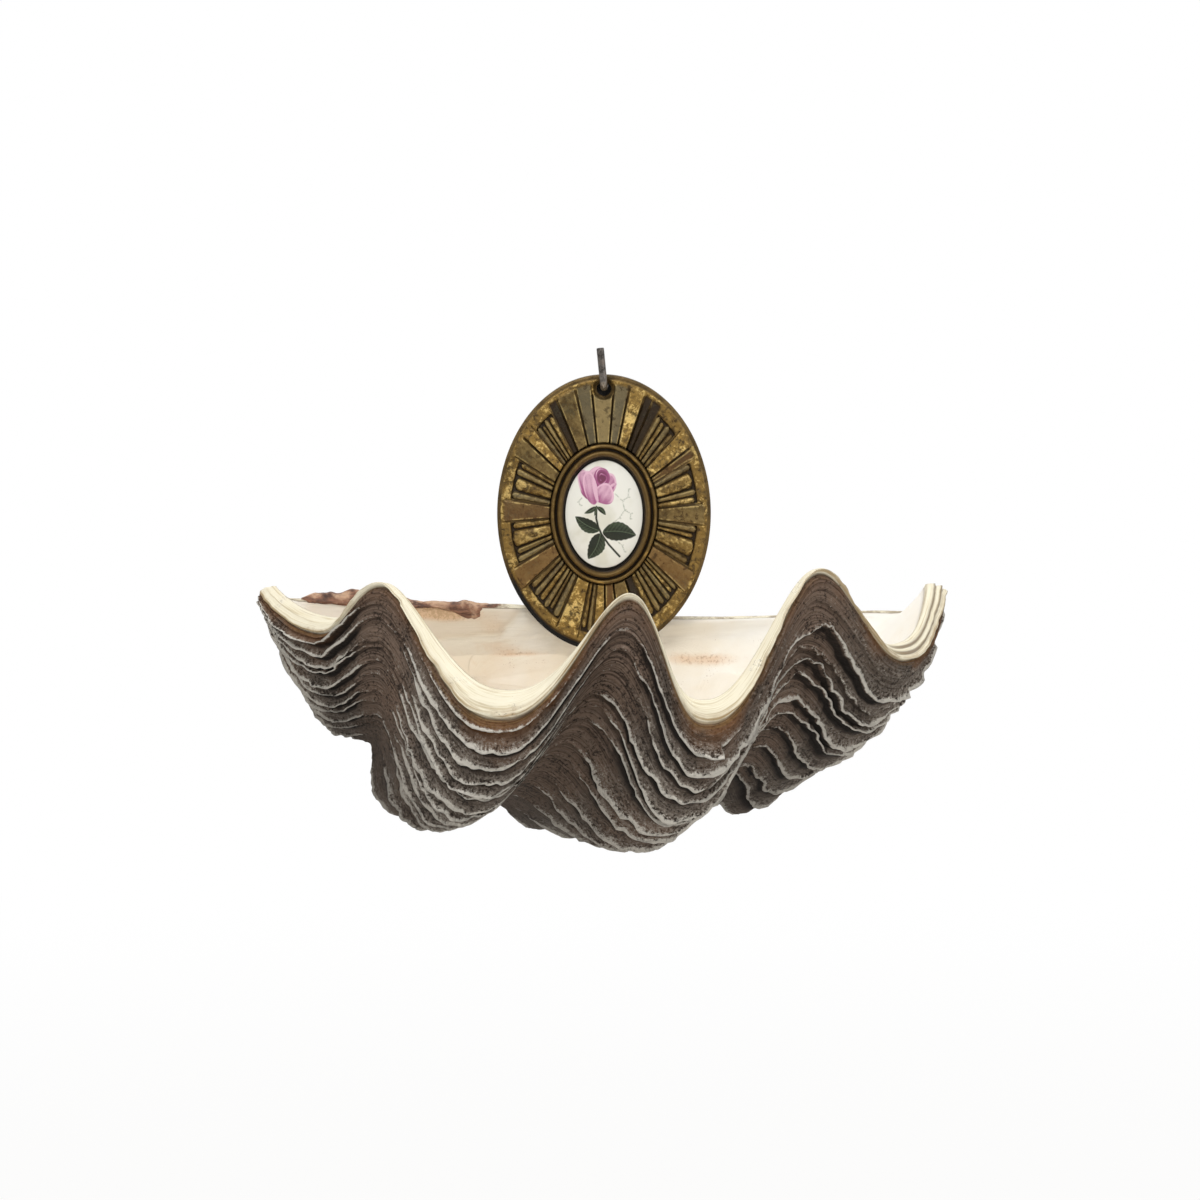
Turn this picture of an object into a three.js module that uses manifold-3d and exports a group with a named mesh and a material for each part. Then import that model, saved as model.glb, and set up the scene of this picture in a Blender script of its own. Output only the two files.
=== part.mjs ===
// Holy water font: half a giant clam shell hung from a cast brass sunburst medallion.
// Millimetres, +Z up. The viewer looks along +Y, and the wall is the plane y = 0.
// The origin is where the axis of the wall hook meets the wall.
import * as THREE from 'three';
import { mergeVertices } from 'three/addons/utils/BufferGeometryUtils.js';
import Module from 'manifold-3d';

const wasm = await Module();
wasm.setup();

const rad = THREE.MathUtils.degToRad;
const lerp = THREE.MathUtils.lerp;
const smoothstep = THREE.MathUtils.smoothstep;

// Clearances
const seatGap = 0.3; // between pieces that touch
const boltFit = 0.5; // holes are wider than the bolt by this
const screwFit = 0.3; // holes are wider than a screw by this, and than a nut across its flats
const wireFit = 0.9; // radial play of the hook in the medallion's hole
const cutPast = 15; // a cut runs this far past the piece

// Medallion
const wallToPlate = 21; // from the wall to the back of the medallion
const plate = { width: 63, height: 82, base: 2.4, rimWidth: 1.3, rimHeight: 0.9 };
const holeWall = 2.1; // metal between the hanging hole and the medallion's edge
const holeRecess = { diameter: 6.6, depth: 0.15 }; // round both holes, below the ground of the relief
const relief = { ray: 1.7, fin: 1.5, low: 0.9, block: 1.3 };
const rayEnd = 0.94; // rays end here, as a share of the oval
const shortRayEnd = 0.85;
const finEnd = 0.86;
const rimBlocks = { from: 0.88, to: 0.96 }; // low blocks between the fins and the rim
const sectorStep = 5; // degrees between the points of a curved edge

// Broad rays: clockwise from the top, in degrees of the oval
const broadRays = [
  { from: -7, to: 5, short: true }, { from: 8, to: 14.5 }, { from: 15.5, to: 24 },
  { from: 51, to: 59 }, { from: 60, to: 65, low: true }, { from: 86, to: 94 }, { from: 117, to: 127 },
  { from: 151, to: 157, low: true }, { from: 158, to: 170 }, { from: 171, to: 179, short: true },
  { from: 180, to: 187, short: true }, { from: 196, to: 208 }, { from: 235, to: 245 },
  { from: 267, to: 276 }, { from: 297, to: 306 }, { from: 306.5, to: 312.5, low: true },
  { from: 332, to: 343 }, { from: 344, to: 350 },
];
// Groups of slender fins between the broad rays
const finGroups = [
  { from: 25.5, to: 49.5, count: 6 }, { from: 66.5, to: 84.5, count: 4 },
  { from: 95.5, to: 115.5, count: 4 }, { from: 128.5, to: 149.5, count: 5 },
  { from: 188.5, to: 194.5, count: 2 }, { from: 209.5, to: 233.5, count: 5 },
  { from: 246.5, to: 265.5, count: 4 }, { from: 277.5, to: 295.5, count: 4 },
  { from: 314, to: 330.5, count: 4 },
];
const finShare = 0.68; // of its pitch

// Setting in the middle of the medallion
const cabochon = { width: 25, height: 35, edge: 1.8, dome: 2.2, domeWidth: 1.06 };
const card = { thickness: 0.8 };
const bezel = {
  reach: 3.3, // past the cabochon's edge
  lip: 0.8, // over the cabochon
  foot: 0.9, // height of its straight outer side
  low: 2.1, // height of the outer moulding
  high: 2.9, // height of the inner moulding
  grooveDepth: 0.8,
  outerFlank: 0.35,
  grooveFlank: 0.4,
  innerFlank: 0.5,
};
const backPlate = { thickness: 0.9, margin: 5 };
const backScrew = {
  diameter: 1.6, headDiameter: 3, headHeight: 1, slotWidth: 0.5, slotDepth: 0.4, inBezel: 1.1, count: 4,
};

// Fastening of the medallion to the shell
const bolt = { diameter: 4, headDiameter: 6, headHeight: 1.4, slotWidth: 0.9, slotDepth: 0.6 };
const spacer = { diameter: 12, thickness: 1.6 };
const leather = { diameter: 12, thickness: 1.5 };
const washer = { diameter: 10, thickness: 1 };
const nut = { acrossFlats: 7, thickness: 3 };
const boltTail = 1.2; // thread past the nut
const shellAtBolt = 6; // wall left between the two flats ground for the bolt
const groundRim = 1; // the flats are this much larger round than what seats on them

// Wall hook: a square-bend hook of round wire
const wire = { diameter: 2.2 };
const hook = { inWall: 22, point: 9, tip: 0.3, bend: 3.2, rise: 8.6, lean: rad(5.5) };

// Hinge ligament: dried strip along the left of the back rim
const ligament = {
  width: 5.2,
  height: 3,
  ripple: 0.9,
  rippleTurn: 2.7, // of the ripple's phase, from one section to the next
  taper: 0.16, // how far into its swelling it starts and ends
  rightEnd: -30, // x
  section: [[-1, 0], [-1, 0.6], [-0.4, 1], [0.5, 0.85], [1, 0]], // shares of half the width and of the height
};

// Shell. The lip and the growth are given round the hinge at the back rim.
const shell = {
  boltBelowRim: 6.4,
  behindPlate: 9, // from the medallion's back to the hinge
  hingeX: -66, // the hinge lies to the left
  beakDrop: 16, // the beak lies this far below the rim
  growth: 0.88, // how fast the lip shrinks with the angle of growth
  narrowing: 0.62, // the same for its width
  depth: 1.14, // of the bowl, against the lip's reach from the hinge
  steepness: rad(15), // the wall starts steep at the lip
  keel: rad(50), // the angle where the ribs bulge most
  keelSharpness: 2.5,
  foldPower: 1.25, // ribs are rounder than the grooves between them
  foldLeft: 0.25, // share of the folds left near the beak
  foldLeftAt: 120,
  innerFold: 0.62, // the folds are this much lower inside
  innerFoldAt: 45,
  wall: 7.3,
  wallToRight: 0.0201, // the wall thickens to the right by this share of x
  wallFrom: 9, // degrees in which the lip's width turns into the wall
  bevel: 0.75, // the lip's inner edge is higher by this share of its width
  bevelTo: 6, // degrees in which the bevel fades
  floorRing: 0.5, // the innermost ring of the bowl is this much smaller than the one before
};
// Old growth that bulges or falls back outside: place from the hinge, push at its middle, and size
const bulges = [
  { x: -60, y: -22, z: -49, pushX: -7.5, pushZ: -0.5, size: 15 }, // behind the second rib
  { x: 41, y: -19, z: -53, pushX: 0, pushZ: -5.5, size: 11 }, // under the fourth rib
  { x: 61, y: -30, z: -47, pushX: 0, pushZ: 3, size: 9 },
  { x: -23, y: -20, z: -58, pushX: -1, pushZ: -3.5, size: 10 }, // behind the third rib
];
// Middle of the bowl, with y from the hinge, and how steeply the wall's thickness rises towards it
const focus = { x: 2, y: -40, rise: 1.2 };

// Extremes of the scalloped lip and of the back rim, clockwise from above: place of the lip, with y from
// the hinge and z from the back rim, then x and z of that rib or groove at its keel. flare: how far the
// old lips stand out. band: width of the pale lip.
const outline = [
  { x: -101, y: -20, z: 8.4, keelX: -88, keelZ: -14, flare: 0.6, band: 5 }, // left tip
  { x: -84, y: -46, z: 0.6, keelX: -76, keelZ: -34, flare: 1, band: 5.5 }, // first rib
  { x: -63, y: -65, z: 17, keelX: -66, keelZ: -34, flare: 0.3, band: 2.5 },
  { x: -30, y: -100, z: -15, keelX: -51, keelZ: -57, flare: 1, band: 6.5 }, // second rib
  { x: 7, y: -94, z: 18, keelX: -30, keelZ: -49, flare: 0.3, band: 2.5 },
  { x: 29, y: -106, z: -15, keelX: -2, keelZ: -62, flare: 1, band: 5 }, // third rib
  { x: 60, y: -80, z: 23, keelX: 28, keelZ: -44, flare: 0.3, band: 2.5 },
  { x: 88, y: -54, z: -6, keelX: 40, keelZ: -52, flare: 1, band: 5 }, // fourth rib
  { x: 100, y: -22, z: 9, keelX: 66, keelZ: -18, flare: 0.6, band: 6 }, // right tip
  { x: 87, y: -3, z: 0, keelX: 44, keelZ: -8, flare: 0, band: 4 },
  { x: 30, y: -2, z: -2, keelX: -1, keelZ: -8, flare: 0, band: 5 },
  { x: -35, y: -2, z: 2, keelX: -43, keelZ: -8, flare: 0, band: 6 },
  { x: -89, y: -4, z: 4, keelX: -80, keelZ: -8, flare: 0, band: 5 },
];
const columnStep = 6; // along the lip

// Growth stops: angle back from the lip, and how far that old lip stands proud
const stops = [
  { at: 4, proud: 0.6 }, { at: 10, proud: 2.2 }, { at: 16, proud: 2.4 }, { at: 22, proud: 2 },
  { at: 28, proud: 2.2 }, { at: 35, proud: 1.8 }, { at: 43, proud: 1.8 }, { at: 52, proud: 1.6 },
  { at: 63, proud: 1.4 },
];
const crevice = 1.4; // degrees between an old lip and the foot of the step below it
const smoothStops = [78, 92, 106, 120, 136, 152, 168]; // worn growth near the beak
const innerStops = [3, 8, 14, 21, 29, 38, 48, 60, 74, 90, 106, 122];

// Joining and cutting of closed bodies
function toSolid(geometry) {
  const bare = geometry.index ? geometry.toNonIndexed() : geometry.clone();
  bare.deleteAttribute('normal');
  bare.deleteAttribute('uv');
  const merged = mergeVertices(bare, 1e-5);
  return new wasm.Manifold(new wasm.Mesh({
    numProp: 3,
    vertProperties: new Float32Array(merged.attributes.position.array),
    triVerts: new Uint32Array(merged.index.array),
  }));
}

function toGeometry(solid) {
  const mesh = solid.getMesh();
  const geometry = new THREE.BufferGeometry();
  geometry.setAttribute('position', new THREE.BufferAttribute(mesh.vertProperties, 3));
  geometry.setIndex(new THREE.BufferAttribute(mesh.triVerts, 1));
  return geometry;
}

// A round bar along +Y from yFrom to yTo
function barAlongY(diameter, yFrom, yTo, x = 0, z = 0, sides = 24) {
  const bar = new THREE.CylinderGeometry(diameter / 2, diameter / 2, yTo - yFrom, sides);
  return bar.translate(x, (yFrom + yTo) / 2, z);
}

// An outline in x and z, raised along Y from yFrom to yTo
function prismAlongY(shape, yFrom, yTo, curveSegments = 28) {
  const solid = new THREE.ExtrudeGeometry(shape, { depth: yTo - yFrom, bevelEnabled: false, curveSegments });
  return solid.rotateX(Math.PI / 2).translate(0, yTo, 0);
}

// A solid with a round hole along Y, right through what lies between yFrom and yTo
function drilled(solid, diameter, x, z, yFrom, yTo) {
  return solid.subtract(toSolid(barAlongY(diameter, yFrom - cutPast, yTo + cutPast, x, z)));
}

function oval(width, height, z = 0) {
  const shape = new THREE.Shape();
  shape.absellipse(0, z, width / 2, height / 2, 0, 2 * Math.PI, false);
  return shape;
}

function ovalRing(width, height, innerWidth, innerHeight, z = 0) {
  const shape = oval(width, height, z);
  const hole = new THREE.Path();
  hole.absellipse(0, z, innerWidth / 2, innerHeight / 2, 0, 2 * Math.PI, true);
  shape.holes.push(hole);
  return shape;
}

function middleOf(points) {
  return points.reduce((sum, p) => sum.addScaledVector(p, 1 / points.length), new THREE.Vector3());
}

// Closed skin over rings of points, each ring with as many points, and a point at either end if given
function skinOverRings(rings, firstTip, lastTip) {
  const points = rings.flat();
  const count = rings[0].length;
  const index = [];
  for (let r = 0; r + 1 < rings.length; r++) {
    for (let c = 0; c < count; c++) {
      const a = r * count + c;
      const b = r * count + (c + 1) % count;
      index.push(a, b + count, b, a, a + count, b + count);
    }
  }
  const ends = [[firstTip, 0, false], [lastTip, rings.length - 1, true]];
  for (const [tip, ring, reversed] of ends) {
    points.push(tip);
    for (let c = 0; c < count; c++) {
      const a = ring * count + c;
      const b = ring * count + (c + 1) % count;
      index.push(points.length - 1, reversed ? b : a, reversed ? a : b);
    }
  }
  const geometry = new THREE.BufferGeometry().setFromPoints(points);
  geometry.setIndex(index);
  return geometry;
}

// Columns round the lip: every value of the outline, blended between its extremes
function lipColumns() {
  const plan = new THREE.CatmullRomCurve3(
    outline.map((p) => new THREE.Vector3(p.x, p.y, p.keelX)), true, 'catmullrom', 0.5);
  const columns = [];
  outline.forEach((from, i) => {
    const to = outline[(i + 1) % outline.length];
    const length = Math.hypot(to.x - from.x, to.y - from.y, to.z - from.z);
    const count = Math.max(3, Math.round(length / columnStep));
    for (let c = 0; c < count; c++) {
      const t = c / count;
      const place = plan.getPoint((i + t) / outline.length);
      const share = from.z < to.z ? t : 1 - t;
      const wave = (1 - Math.cos(Math.PI * share ** shell.foldPower)) / 2;
      const mix = from.z < to.z ? wave : 1 - wave;
      columns.push({
        x: place.x - hinge.x,
        y: place.y,
        z: lerp(from.z, to.z, mix),
        keelX: place.z - hinge.x,
        keelZ: lerp(from.keelZ, to.keelZ, mix),
        flare: lerp(from.flare, to.flare, mix),
        band: lerp(from.band, to.band, mix),
      });
    }
  });
  return columns;
}

// The lip carried back by an angle of growth: it turns under about the hinge and shrinks as it goes
function grown(column, angle, fold) {
  const turns = angle * angle / (angle + shell.steepness);
  const size = Math.exp(-shell.growth * turns);
  const narrow = Math.exp(-shell.narrowing * turns);
  return new THREE.Vector3(
    column.x * narrow,
    size * (column.y * Math.cos(angle) - fold * column.z * Math.sin(angle)),
    size * (shell.depth * column.y * Math.sin(angle) + fold * column.z * Math.cos(angle))
      - shell.beakDrop * (1 - size));
}

function foldLeft(angle) {
  return lerp(1, shell.foldLeft, smoothstep(angle, 0, rad(shell.foldLeftAt)));
}

function surface(column, angle, fold) {
  const place = grown(column, angle, fold);
  const atKeel = grown(column, shell.keel, foldLeft(shell.keel));
  const share = angle / shell.keel;
  const swell = share ** shell.keelSharpness * Math.exp(shell.keelSharpness * (1 - share));
  place.x += (column.keelX - atKeel.x) * swell;
  place.z += (column.keelZ - atKeel.z) * swell;
  return place.add(hinge);
}

// Into the bowl: level at the rim and upwards at the bottom
function inwards(place) {
  return new THREE.Vector3(
    focus.x - place.x, hinge.y + focus.y - place.y, focus.rise * (hinge.z - place.z)).normalize();
}

function outerPoint(column, degrees, proud) {
  const angle = rad(degrees);
  const place = surface(column, angle, foldLeft(angle));
  for (const bulge of bulges) {
    const middle = new THREE.Vector3(bulge.x, hinge.y + bulge.y, hinge.z + bulge.z);
    const share = Math.exp(-((place.distanceTo(middle) / bulge.size) ** 2));
    place.add(new THREE.Vector3(bulge.pushX * share, 0, bulge.pushZ * share));
  }
  return place.addScaledVector(inwards(place), -proud * column.flare);
}

function innerPoint(column, degrees) {
  const angle = rad(degrees);
  const fold = foldLeft(angle) * lerp(1, shell.innerFold, smoothstep(degrees, 0, shell.innerFoldAt));
  const place = surface(column, angle, fold);
  const wall = shell.wall + shell.wallToRight * place.x;
  const settled = 1 - Math.exp(-degrees / shell.wallFrom);
  place.addScaledVector(inwards(place), lerp(column.band, wall, settled));
  place.z += shell.bevel * column.band * column.flare * Math.exp(-degrees / shell.bevelTo);
  return place;
}

function shellGeometry() {
  const columns = lipColumns();
  const rings = [];
  const deepest = columns.map((c) => innerPoint(c, innerStops.at(-1)));
  const centre = middleOf(deepest);
  rings.push(deepest.map((p) => p.clone().lerp(centre, shell.floorRing)));
  for (const degrees of [...innerStops].reverse()) {
    rings.push(columns.map((c) => innerPoint(c, degrees)));
  }
  rings.push(columns.map((c) => innerPoint(c, 0)));
  rings.push(columns.map((c) => outerPoint(c, 0, 0)));
  for (const stop of stops) {
    rings.push(columns.map((c) => outerPoint(c, stop.at, stop.proud)));
    rings.push(columns.map((c) => outerPoint(c, stop.at + crevice, 0)));
  }
  for (const degrees of smoothStops) rings.push(columns.map((c) => outerPoint(c, degrees, 0)));
  const beak = hinge.clone();
  beak.z -= shell.beakDrop;
  return skinOverRings(rings, centre, beak);
}

// Places along Y, from the wall outwards
const plateBack = -wallToPlate;
const plateFront = plateBack - plate.base;
const hookBendStart = plateFront - relief.ray - seatGap;
const groundInner = plateBack + 2 * seatGap + spacer.thickness;
const groundOuter = groundInner + shellAtBolt;
const leatherFrom = groundOuter + seatGap;
const washerFrom = leatherFrom + leather.thickness + seatGap;
const nutFrom = washerFrom + washer.thickness + seatGap;
const boltEnd = nutFrom + nut.thickness + boltTail;

// Places up and down: the wire's axis is z = 0, and the medallion hangs by the top of its hole
const hangingHole = { radius: wire.diameter / 2 + wireFit };
const holeTop = wire.diameter / 2 + seatGap;
hangingHole.z = holeTop - hangingHole.radius;
const plateZ = holeTop + holeWall - plate.height / 2;
const boltZ = 2 * plateZ - hangingHole.z;

// The shell grows about its hinge, which follows the medallion's lower hole
const hinge = new THREE.Vector3(shell.hingeX, plateBack + shell.behindPlate, boltZ + shell.boltBelowRim);

// The rays start where the bezel ends
const bezelAndGap = 2 * (bezel.reach + seatGap);
const rayStart = Math.max(
  (cabochon.width + bezelAndGap) / plate.width, (cabochon.height + bezelAndGap) / plate.height);

// A sector of the medallion's oval, between two shares of it, raised from its front
function sector(from, to, inner, outer, height) {
  const steps = Math.max(1, Math.round((to - from) / sectorStep));
  const edge = (share, first, last) => Array.from({ length: steps + 1 }, (_, i) => {
    const angle = rad(lerp(first, last, i / steps));
    return new THREE.Vector2(
      share * plate.width / 2 * Math.sin(angle), share * plate.height / 2 * Math.cos(angle));
  });
  const shape = new THREE.Shape([...edge(inner, from, to), ...edge(outer, to, from)]);
  return prismAlongY(shape, plateFront - height, plateFront + plate.base / 2).translate(0, 0, plateZ);
}

function sunburst() {
  let solid = toSolid(prismAlongY(oval(plate.width, plate.height, plateZ), plateFront, plateBack));
  const rim = ovalRing(plate.width, plate.height,
    plate.width - 2 * plate.rimWidth, plate.height - 2 * plate.rimWidth, plateZ);
  const raised = [prismAlongY(rim, plateFront - plate.rimHeight, plateFront + plate.base / 2)];
  for (const ray of broadRays) {
    const end = ray.short ? shortRayEnd : rayEnd;
    raised.push(sector(ray.from, ray.to, rayStart, end, ray.low ? relief.low : relief.ray));
  }
  for (const fins of finGroups) {
    const pitch = (fins.to - fins.from) / fins.count;
    for (let i = 0; i < fins.count; i++) {
      const start = fins.from + i * pitch;
      raised.push(sector(start, start + finShare * pitch, rayStart, finEnd, relief.fin));
    }
    const lastFinEnd = fins.to - (1 - finShare) * pitch;
    raised.push(sector(fins.from, lastFinEnd, rimBlocks.from, rimBlocks.to, relief.block));
  }
  for (const piece of raised) solid = solid.add(toSolid(piece));
  const opening = oval(cabochon.width + 2 * seatGap, cabochon.height + 2 * seatGap, plateZ);
  solid = solid.subtract(toSolid(prismAlongY(opening, plateFront - cutPast, plateBack + cutPast)));
  for (const z of [hangingHole.z, boltZ]) {
    const dish = barAlongY(holeRecess.diameter, plateFront - cutPast, plateFront + holeRecess.depth, 0, z);
    solid = solid.subtract(toSolid(dish));
  }
  solid = drilled(solid, 2 * hangingHole.radius, 0, hangingHole.z, plateFront, plateBack);
  solid = drilled(solid, bolt.diameter + boltFit, 0, boltZ, plateFront, plateBack);
  for (const place of screwPlaces()) {
    solid = drilled(solid, backScrew.diameter + screwFit, place.x, place.z, plateFront, plateBack);
  }
  return solid;
}

// The setting's screws stand on an oval between the opening and the bezel's outer edge
function screwPlaces() {
  const middle = (seatGap + bezel.reach) / 2;
  const a = cabochon.width / 2 + middle;
  const b = cabochon.height / 2 + middle;
  return Array.from({ length: backScrew.count }, (_, i) => {
    const angle = 2 * Math.PI * (i + 0.5) / backScrew.count;
    return { x: a * Math.sin(angle), z: plateZ + b * Math.cos(angle) };
  });
}

// A closed section carried round an oval: each point is [outwards from the oval, y]
function ovalSweep(section, width, height, steps = 56) {
  const points = [];
  const index = [];
  for (let i = 0; i < steps; i++) {
    const angle = 2 * Math.PI * i / steps;
    for (const [out, y] of section) {
      points.push(new THREE.Vector3(
        (width / 2 + out) * Math.sin(angle), y, plateZ + (height / 2 + out) * Math.cos(angle)));
    }
  }
  const n = section.length;
  for (let i = 0; i < steps; i++) {
    for (let j = 0; j < n; j++) {
      const a = i * n + j;
      const b = i * n + (j + 1) % n;
      const c = ((i + 1) % steps) * n + (j + 1) % n;
      const d = ((i + 1) % steps) * n + j;
      index.push(a, b, c, a, c, d);
    }
  }
  const geometry = new THREE.BufferGeometry().setFromPoints(points);
  geometry.setIndex(index);
  return geometry;
}

// Setting: the cabochon's back lies on the card, and the bezel's lip holds its edge
const cabochonBack = plateBack - card.thickness - seatGap;
const cabochonEdge = cabochonBack - cabochon.edge;
const bezelFoot = plateFront - seatGap;

function bezelRing() {
  const outer = bezel.reach;
  const inside = seatGap;
  const lipFrom = cabochonEdge - seatGap;
  const groove = (inside + outer) / 2;
  const lowTop = bezelFoot - bezel.low;
  const highTop = bezelFoot - bezel.high;
  const section = [
    [outer, bezelFoot], [outer, bezelFoot - bezel.foot], [outer - bezel.outerFlank, lowTop],
    [groove + bezel.grooveFlank, lowTop], [groove, lowTop + bezel.grooveDepth],
    [groove - bezel.innerFlank, highTop], [bezel.innerFlank - bezel.lip, highTop],
    [-bezel.lip, highTop + bezel.innerFlank], [-bezel.lip, lipFrom], [inside, lipFrom], [inside, bezelFoot],
  ];
  let ring = toSolid(ovalSweep(section, cabochon.width, cabochon.height));
  for (const place of screwPlaces()) {
    const bore = barAlongY(backScrew.diameter + screwFit,
      bezelFoot - backScrew.inBezel - seatGap, bezelFoot + cutPast, place.x, place.z);
    ring = ring.subtract(toSolid(bore));
  }
  return ring;
}

// Domed oval with a straight edge
function cabochonBody() {
  const rows = 5;
  const steps = 48;
  const row = (share, y) => Array.from({ length: steps }, (_, i) => {
    const angle = 2 * Math.PI * i / steps;
    return new THREE.Vector3(share * cabochon.width / 2 * Math.sin(angle), y,
      plateZ + share * cabochon.height / 2 * Math.cos(angle));
  });
  const flank = 1 - (bezel.lip + seatGap) / (cabochon.width / 2);
  const rings = [row(1, cabochonBack), row(1, cabochonEdge), row(flank, cabochonEdge)];
  for (let r = 0; r < rows; r++) {
    const share = flank * Math.cos(Math.PI / 2 * r / rows);
    rings.push(row(share, cabochonEdge - cabochon.dome * Math.sqrt(1 - (share / cabochon.domeWidth) ** 2)));
  }
  const back = new THREE.Vector3(0, cabochonBack, plateZ);
  const top = new THREE.Vector3(0, cabochonEdge - cabochon.dome, plateZ);
  return skinOverRings(rings, back, top);
}

function backPlateBody() {
  const shape = oval(cabochon.width + 2 * backPlate.margin, cabochon.height + 2 * backPlate.margin, plateZ);
  const from = plateBack + seatGap;
  let solid = toSolid(prismAlongY(shape, from, from + backPlate.thickness));
  for (const place of screwPlaces()) {
    solid = drilled(solid, backScrew.diameter + screwFit, place.x, place.z, from, from + backPlate.thickness);
  }
  return solid;
}

// A slotted screw along Y: the head's flat is at headFrom, the head lies towards side
function slottedScrew(size, x, z, headFrom, side, end) {
  const headEnd = headFrom + side * size.headHeight;
  const inHead = headFrom + side * size.headHeight / 4;
  const shank = barAlongY(size.diameter, Math.min(end, inHead), Math.max(end, inHead), x, z);
  const head = barAlongY(size.headDiameter, Math.min(headFrom, headEnd), Math.max(headFrom, headEnd), x, z);
  const slot = new THREE.BoxGeometry(2 * size.headDiameter, 2 * size.slotDepth, size.slotWidth);
  slot.translate(x, headEnd, z);
  return toSolid(shank).add(toSolid(head)).subtract(toSolid(slot));
}

function hexNut(x, z, from) {
  const shape = new THREE.Shape();
  const corner = nut.acrossFlats / Math.sqrt(3);
  for (let i = 0; i < 6; i++) {
    const angle = Math.PI / 3 * i;
    shape[i ? 'lineTo' : 'moveTo'](x + corner * Math.cos(angle), z + corner * Math.sin(angle));
  }
  const body = toSolid(prismAlongY(shape, from, from + nut.thickness));
  return drilled(body, bolt.diameter + 2 * seatGap, x, z, from, from + nut.thickness);
}

// A flat ring along Y with the bolt's hole
function ring(outerDiameter, from, thickness) {
  const disc = toSolid(barAlongY(outerDiameter, from, from + thickness, 0, boltZ));
  return drilled(disc, bolt.diameter + boltFit, 0, boltZ, from, from + thickness);
}

// The hook: a tapered point in the wall, a level shank, a bend and a leaning upright
function hookBody() {
  const up = new THREE.Vector3(-Math.sin(hook.lean), 0, Math.cos(hook.lean));
  const side = new THREE.Vector3(Math.cos(hook.lean), 0, Math.sin(hook.lean));
  const out = new THREE.Vector3(0, -1, 0);
  const radius = wire.diameter / 2;
  const sides = 20;
  const ringAt = (centre, tangent, r) => {
    const normal = new THREE.Vector3().crossVectors(side, tangent);
    return Array.from({ length: sides }, (_, i) => {
      const angle = 2 * Math.PI * i / sides;
      return centre.clone()
        .addScaledVector(side, r * Math.cos(angle)).addScaledVector(normal, r * Math.sin(angle));
    });
  };
  const start = new THREE.Vector3(0, hook.inWall, 0);
  const rings = [
    ringAt(start, out, hook.tip),
    ringAt(start.clone().addScaledVector(out, hook.point), out, radius),
  ];
  const bendFrom = new THREE.Vector3(0, hookBendStart, 0);
  const steps = 10;
  for (let i = 0; i <= steps; i++) {
    const angle = Math.PI / 2 * i / steps;
    const centre = bendFrom.clone().addScaledVector(out, hook.bend * Math.sin(angle))
      .addScaledVector(up, hook.bend * (1 - Math.cos(angle)));
    const tangent = out.clone().multiplyScalar(Math.cos(angle)).addScaledVector(up, Math.sin(angle));
    rings.push(ringAt(centre, tangent, radius));
  }
  const top = bendFrom.clone().addScaledVector(out, hook.bend).addScaledVector(up, hook.bend + hook.rise);
  rings.push(ringAt(top, up, radius));
  return skinOverRings(rings, start, top);
}

// Strip along the left of the back rim, from its middle to the left corner
function ligamentBody() {
  const columns = lipColumns().filter((c) => c.flare === 0 && c.x + hinge.x < ligament.rightEnd);
  const rings = columns.map((column, i) => {
    const share = i / (columns.length - 1);
    const taper = Math.sin(Math.PI * lerp(ligament.taper, 1 - ligament.taper, share));
    const height = taper * (ligament.height + ligament.ripple * Math.sin(ligament.rippleTurn * i));
    const rim = innerPoint(column, 0).lerp(outerPoint(column, 0, 0), 0.5);
    return ligament.section.map(([across, up]) => new THREE.Vector3(
      rim.x, rim.y - across * ligament.width / 2, rim.z + seatGap + up * height));
  });
  return skinOverRings(rings, middleOf(rings[0]), middleOf(rings.at(-1)));
}

const group = new THREE.Group();
function add(name, geometry, color, roughness, metalness) {
  const mesh = new THREE.Mesh(geometry, new THREE.MeshStandardMaterial({ color, roughness, metalness }));
  mesh.name = name;
  group.add(mesh);
}

// The shell, drilled for the bolt between two flats that are ground on it
function basinBody() {
  const flats = [
    barAlongY(spacer.diameter + 2 * groundRim, groundInner - cutPast, groundInner, 0, boltZ),
    barAlongY(leather.diameter + 2 * groundRim, groundOuter, groundOuter + cutPast, 0, boltZ),
  ];
  const hole = bolt.diameter + boltFit;
  const solid = drilled(toSolid(shellGeometry()), hole, 0, boltZ, groundInner, groundOuter);
  return flats.reduce((body, flat) => body.subtract(toSolid(flat)), solid);
}

add('shell_basin', toGeometry(basinBody()), '#8d8076', 0.85, 0);
add('hinge_ligament', ligamentBody(), '#5a3526', 0.7, 0);
add('sunburst_plate', toGeometry(sunburst()), '#8c6a32', 0.42, 0.9);
add('bezel_ring', toGeometry(bezelRing()), '#6b4a25', 0.45, 0.85);
add('cabochon', cabochonBody(), '#e4e2da', 0.12, 0);
const cardShape = oval(cabochon.width, cabochon.height, plateZ);
add('packing_card', prismAlongY(cardShape, plateBack - card.thickness, plateBack), '#8a7a5c', 0.95, 0);
add('back_plate', toGeometry(backPlateBody()), '#7d6232', 0.5, 0.85);
screwPlaces().forEach((place, i) => {
  const headFrom = plateBack + seatGap + backPlate.thickness + seatGap;
  const screw = slottedScrew(backScrew, place.x, place.z, headFrom, 1, bezelFoot - backScrew.inBezel);
  add(`back_screw_${i + 1}`, toGeometry(screw), '#75715f', 0.4, 0.9);
});
const boltHead = plateFront + holeRecess.depth - seatGap;
add('fixing_bolt', toGeometry(slottedScrew(bolt, 0, boltZ, boltHead, -1, boltEnd)), '#7a6a48', 0.4, 0.9);
const spacerFrom = plateBack + seatGap;
add('spacer_washer', toGeometry(ring(spacer.diameter, spacerFrom, spacer.thickness)), '#8c6a32', 0.45, 0.9);
add('leather_washer', toGeometry(ring(leather.diameter, leatherFrom, leather.thickness)), '#5d3f28', 0.9, 0);
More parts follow.
